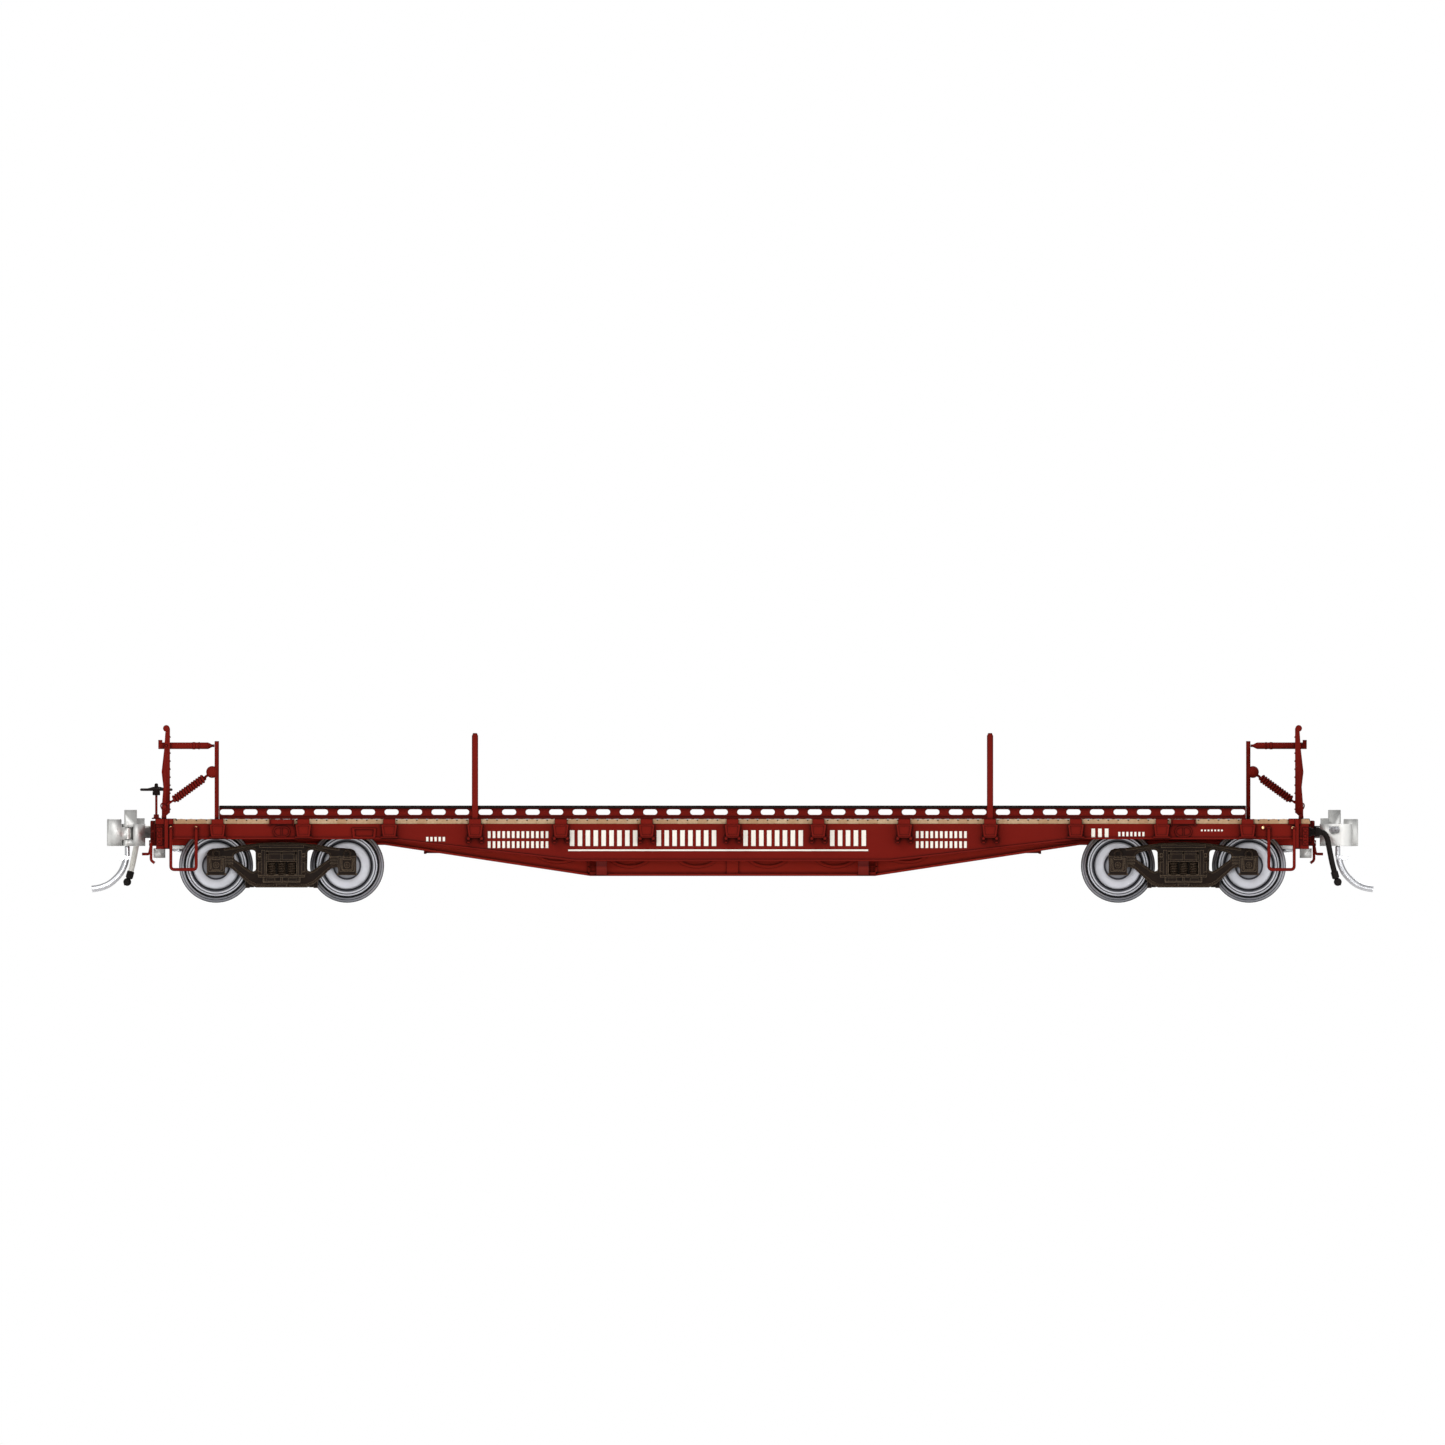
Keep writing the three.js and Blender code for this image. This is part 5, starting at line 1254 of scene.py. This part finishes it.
# %% Cut levers, grab irons and striker castings
LEVER_X = -87.0
LEVER_Z = 8.94
for end, turn in ENDS.items():
    lever = bmesh.new()
    path = [(-88.4, -2.9, 7.29), (-87.3, -2.9, 7.29), (LEVER_X, -2.9, LEVER_Z), (LEVER_X, -15.2, LEVER_Z),
            (-87.05, -15.2, 6.34), (-86.5, -15.2, 5.94)]
    bent_wire(lever, rounded(path, 0.3, 4), 0.21, sides=10)
    piece("cut_lever_wire_" + end, lever, "car_body", *PAINTED_RED, place=turn,
          replaced=("cut_lever_" + end,))
    grab = bmesh.new()
    bent_wire(grab, rounded([(-86.3, -13.2, 10.7), (-86.85, -13.2, 10.7), (-86.85, -8.6, 10.7),
                             (-86.3, -8.6, 10.7)], 0.25, 4), 0.17, sides=8)
    striker = bmesh.new()
    for side in (-1, 1):
        block(striker, (-87.15, -86.25), sorted((side * 2.05, side * 2.7)), (8.5, 12.3))
        block(striker, (-86.75, -86.25), sorted((side * 2.7, side * 3.3)), (9.0, 11.9))
    block(striker, (-87.15, -86.25), (-2.1, 2.1), (11.55, 12.3))
    block(striker, (-87.05, -86.25), (-2.1, 2.1), (8.5, 9.1))
    piece("end_grab_iron_" + end, grab, "car_body", red_paint, place=turn)
    piece("striker_casting_" + end, striker, "car_body", red_paint, place=turn, broken=0.08)
crank = bmesh.new()
block(crank, (-87.0, -86.25), (8.1, 9.9), (9.9, 10.3))
block(crank, (-86.6, -86.25), (8.3, 9.7), (9.3, 11.6))
turned_bar(crank, [(0.18, 9.6), (0.18, 12.0)], (-86.72, 9, 0), UP, 10)
turned_bar(crank, [(0.0, 9.0), (0.4, 9.05), (0.45, 9.5), (0.3, 9.6), (0.3, 9.9)], (-86.72, 9, 0), UP, 14)
piece("brake_chain_bracket", crank, "car_body", red_paint, broken=0.05)
print("cut levers lie", LEVER_Z, "mm up")

# %% [markdown]
# ## Couplers
# The coupler head and its knuckle are zinc castings, so their solids are kept and every edge is softened. A
# hair-fine spring lies in the head and shuts the knuckle. The trip pin is a bent steel wire pushed up
# through both: a magnet between the rails pulls its curved end aside. Each lid is held up by one slotted
# screw.

# %% Couplers, trip pins and lid screws
COUPLER_Z = 10.475
PIN_X, PIN_Y = -90.6, -1.1
PIVOT_X = -83.0
for end, turn in ENDS.items():
    broken_edges("coupler_" + end, *CAST_ZINC, width=0.12)
    broken_edges("knuckle_" + end, *CAST_ZINC, width=0.14)
    spring = bmesh.new()
    helix = []
    for i in range(7 * 12 + 1):
        t = 2 * math.pi * i / 12
        helix.append((-89.3 - 1.5 * i / 84, 2.2 + 0.2 * math.cos(t), COUPLER_Z + 0.5 + 0.42 * math.sin(t)))
    bent_wire(spring, helix, 0.07, sides=6)
    piece("knuckle_spring_" + end, spring, f"coupler_{end}_body", pin_steel, place=turn)

    pin = bmesh.new()
    turned_bar(pin, [(0.3, 8.38), (0.3, 11.5), (0.2, 11.58), (0.0, 11.58)], (PIN_X, PIN_Y, 0), UP, 16)
    turned_bar(pin, [(0.3, 6.88), (0.38, 6.96), (0.38, 8.38), (0.32, 8.44)], (PIN_X, PIN_Y, 0), UP, 16)
    bend = swept([(-90.75, PIN_Y, 6.9), (-91.0, PIN_Y, 5.7), (-91.75, PIN_Y, 4.25), (-93.1, PIN_Y, 2.95),
                  (-94.5, PIN_Y, 2.3), (-95.9, PIN_Y, 2.05)], 6)
    bent_wire(pin, bend, 0.5, sides=14)
    flag = bmesh.new()
    block(flag, (-92.2, -90.3), about(PIN_Y, 0.45), (6.375, 7.075))
    bmesh.ops.bevel(flag, geom=flag.edges[:], offset=0.12, segments=2, affect="EDGES")
    joined(pin, flag)
    piece("trip_pin_wire_" + end, pin, f"knuckle_{end}_body", *BRIGHT_STEEL, place=turn,
          replaced=("trip_pin_" + end,))

    screw = bmesh.new()
    turned_bar(screw, [(1.3, 0.0), (1.3, -0.3), (1.1, -0.42), (0.3, -0.46), (0.0, -0.46)],
               (PIVOT_X, 0, 8.06), UP, 32)
    for y in ((-0.9, -0.2), (0.2, 0.9)):
        block(screw, about(PIVOT_X, 0.8), y, (7.52, 7.7))
    piece("lid_screw_" + end, screw, "car_body", pin_steel, place=turn)
print("coupler centres", COUPLER_Z, "mm up")

# %% [markdown]
# ## Air hoses
# A brake hose hangs from an angle cock and ends in a gladhand, the coupling that meets the next car's.
# The cock is a turned casting with a small handle, and the hose a rubber tube that sags from it.
# On this model one is moulded in uncoloured nylon and the other in black rubber; both gladhands are black.

# %% Air hoses
HOSE_Y = 4.5
HOSE_Z = 10.61
GLADHAND_BOTTOM = 2.6
TUBES = {"left": (hose_nylon, "natural_nylon_hose"), "right": (hose_rubber, "hose_rubber")}
for end, turn in ENDS.items():
    tube_finish, tube_slot = TUBES[end]
    hose = bmesh.new()
    turned_bar(hose, [(0.0, 0.0), (0.72, 0.0), (0.72, 0.3), (0.55, 0.36), (0.55, 0.9), (0.72, 0.96),
                      (0.72, 1.5), (0.5, 1.7), (0.46, 1.9), (0.0, 1.9)], (-86.3, HOSE_Y, HOSE_Z),
               (-1, 0, 0), 24)
    turned_bar(hose, [(0.22, 0.4), (0.22, 0.75), (0.32, 0.78), (0.3, 0.9), (0.0, 0.9)],
               (-87.2, HOSE_Y, HOSE_Z), UP, 12)
    block(hose, (-87.9, -87.1), about(HOSE_Y, 0.14), (HOSE_Z + 0.74, HOSE_Z + 0.9))
    sag = swept([(-87.8, HOSE_Y, HOSE_Z), (-88.5, HOSE_Y, 10.4), (-89.0, HOSE_Y, 9.7),
                 (-89.35, HOSE_Y, 8.0), (-89.75, HOSE_Y, 6.0), (-90.2, HOSE_Y, 4.2)], 6)
    bent_wire(hose, sag, 0.42, sides=16)
    piece("air_hose_tube_" + end, hose, "car_body", tube_finish, tube_slot, place=turn,
          replaced=("air_hose_" + end,))
    glad = bmesh.new()
    down = Vector((-0.3, 0, -1.1))
    turned_bar(glad, [(0.43, 0.0), (0.55, 0.06), (0.55, 1.0), (0.45, 1.1), (0.3, 1.2)],
               (-90.05, HOSE_Y, 4.71), down, 20)
    turned_bar(glad, [(0.0, -0.5), (0.3, -0.5), (0.58, -0.25), (0.6, 0.1), (0.45, 0.4), (0.0, 0.5)],
               (-90.6, HOSE_Y, 3.11), ALONG_Y, 20)
    block(glad, (-91.1, -90.3), about(HOSE_Y, 0.3), (GLADHAND_BOTTOM, 3.0))
    piece("gladhand_" + end, glad, "car_body", hose_rubber, place=turn)
print("hoses hang to", GLADHAND_BOTTOM, "mm")

# %% [markdown]
# ## Brake gear and weight under the floor
# The brake cylinder, air reservoir and control valve hang under the floor, joined by rods and pipe.
# Cylinders are turned, with flanges and straps as steps in the same section, so that they need no separate
# rings. The train pipe runs the whole length beside the centre sill and crosses over in the middle.

# %% Under the floor
GEAR_TOP = 9.91
CYLINDER_Z = 8.16
CYLINDER_FLANGE = 1.75
cylinder = bmesh.new()
turned_bar(cylinder, [(0.0, 0.0), (1.25, 0.0), (1.45, 0.12), (1.5, 0.3), (1.5, 5.25),
                      (CYLINDER_FLANGE, 5.3), (CYLINDER_FLANGE, 5.7), (1.3, 5.85), (0.7, 6.15), (0.32, 6.2),
                      (0.3, 8.0), (0.0, 8.1)], (-6.5, 7.4, CYLINDER_Z), (1, 0, 0), 40)
for i in range(8):
    t = 2 * math.pi * i / 8
    turned_bar(cylinder, [(0.15, 5.1), (0.15, 5.8), (0.0, 5.86)],
               (-6.5, 7.4 + 1.58 * math.cos(t), CYLINDER_Z + 1.58 * math.sin(t)), (1, 0, 0), 6)
for x in ((-6.9, -6.1), (-1.35, -0.8)):
    block(cylinder, x, (6.6, 8.2), (CYLINDER_Z - 0.3, GEAR_TOP))
piece("brake_cylinder_turned", cylinder, "car_body", *PAINTED_RED, replaced=("brake_cylinder",))

print("brake cylinder is", 2 * CYLINDER_FLANGE, "mm across its flange")

# %% [markdown]
# ## Air reservoir, valve, rods and pipe
# The reservoir is the same at both ends, so half of its section is drawn and then read backwards.
# Rods are plain bars with clevises, and the pipe is one bent wire with its unions turned on it.

# %% Reservoir, valve, rods and pipe
tank = bmesh.new()
half = [(0.0, -6.9), (0.7, -6.85), (1.15, -6.6), (1.36, -6.1), (1.4, -5.7), (1.4, -4.5), (1.48, -4.48),
        (1.48, -4.0), (1.4, -3.98)]
turned_bar(tank, half + [(r, -x) for r, x in reversed(half)], (0, -8, 8.31), (1, 0, 0), 40)
for x in ((-4.5, -4.0), (4.0, 4.5)):
    block(tank, x, (-8.8, -7.2), (8.31, GEAR_TOP))
turned_bar(tank, [(0.3, 0.0), (0.3, 0.3), (0.0, 0.35)], (0, -8, 6.95), (0, 0, -1), 8)
piece("air_reservoir_turned", tank, "car_body", *PAINTED_RED, replaced=("air_reservoir",))

valve = bmesh.new()
block(valve, (5.6, 7.4), (8, 10.4), (GEAR_TOP - 0.3, GEAR_TOP))
block(valve, (5.8, 7.2), (8.2, 10.2), (7.72, GEAR_TOP - 0.25))
turned_bar(valve, [(0.6, 0.0), (0.6, 0.6), (0.3, 0.75), (0.0, 0.78)], (6.5, 9.2, 7.75), (0, 0, -1), 20)
turned_bar(valve, [(0.0, -1.3), (0.55, -1.3), (0.55, -1.05), (0.4, -1.0), (0.4, 1.0), (0.55, 1.05),
                   (0.55, 1.3), (0.0, 1.3)], (6.5, 9.2, 8.61), (1, 0, 0), 20)
piece("control_valve_cast", valve, "car_body", *PAINTED_RED, broken=0.06, replaced=("control_valve",))

rods = bmesh.new()
turned_bar(rods, [(0.2, -46), (0.2, 46)], (0, 4.9, 7.61), (1, 0, 0), 12)
turned_bar(rods, [(0.25, 0.0), (0.25, 3.44)], (2, 4.9, 7.61), (0, 3.4, 0.55), 10)
for x in (-46, 46):
    block(rods, about(x, 0.2), (4.6, 5.2), (7.31, GEAR_TOP))
for x in (-30, -12, 12, 30):
    turned_bar(rods, [(0.32, -0.6), (0.32, 0.6)], (x, 4.9, 7.61), (1, 0, 0), 6)
piece("brake_rods_drawn", rods, "car_body", *PAINTED_RED, replaced=("brake_rods",))

pipe = bmesh.new()
route = [(-85.7, 4.5, HOSE_Z), (-79.0, 4.5, HOSE_Z - 0.1), (-76.0, 4.1, 9.2), (-10.0, 4.1, 9.2),
         (10.0, -4.1, 9.2), (76.0, -4.1, 9.2), (79.0, -4.5, HOSE_Z - 0.1), (85.7, -4.5, HOSE_Z)]
bent_wire(pipe, rounded(route, 1.2), 0.22, sides=10)
for x in (13, 28, 40, 56):
    for side in (-1, 1):
        turned_bar(pipe, [(0.3, -0.3), (0.3, 0.3)], (side * x, -side * 4.1, 9.2), (1, 0, 0), 8)
piece("train_pipe", pipe, "car_body", red_paint)

for node, finish in (("underframe", frame_paint), ("ballast_weight", weight_steel)):
    for holder in frame["nodes"][node].material_slots:
        holder.material = finish
print("frame and weight keep their solids' shapes")

# %% [markdown]
# ## The finished model
# The dressed model is drawn to fit the same box as its solids.

# %% The finished model
print("the dressed model is finished")
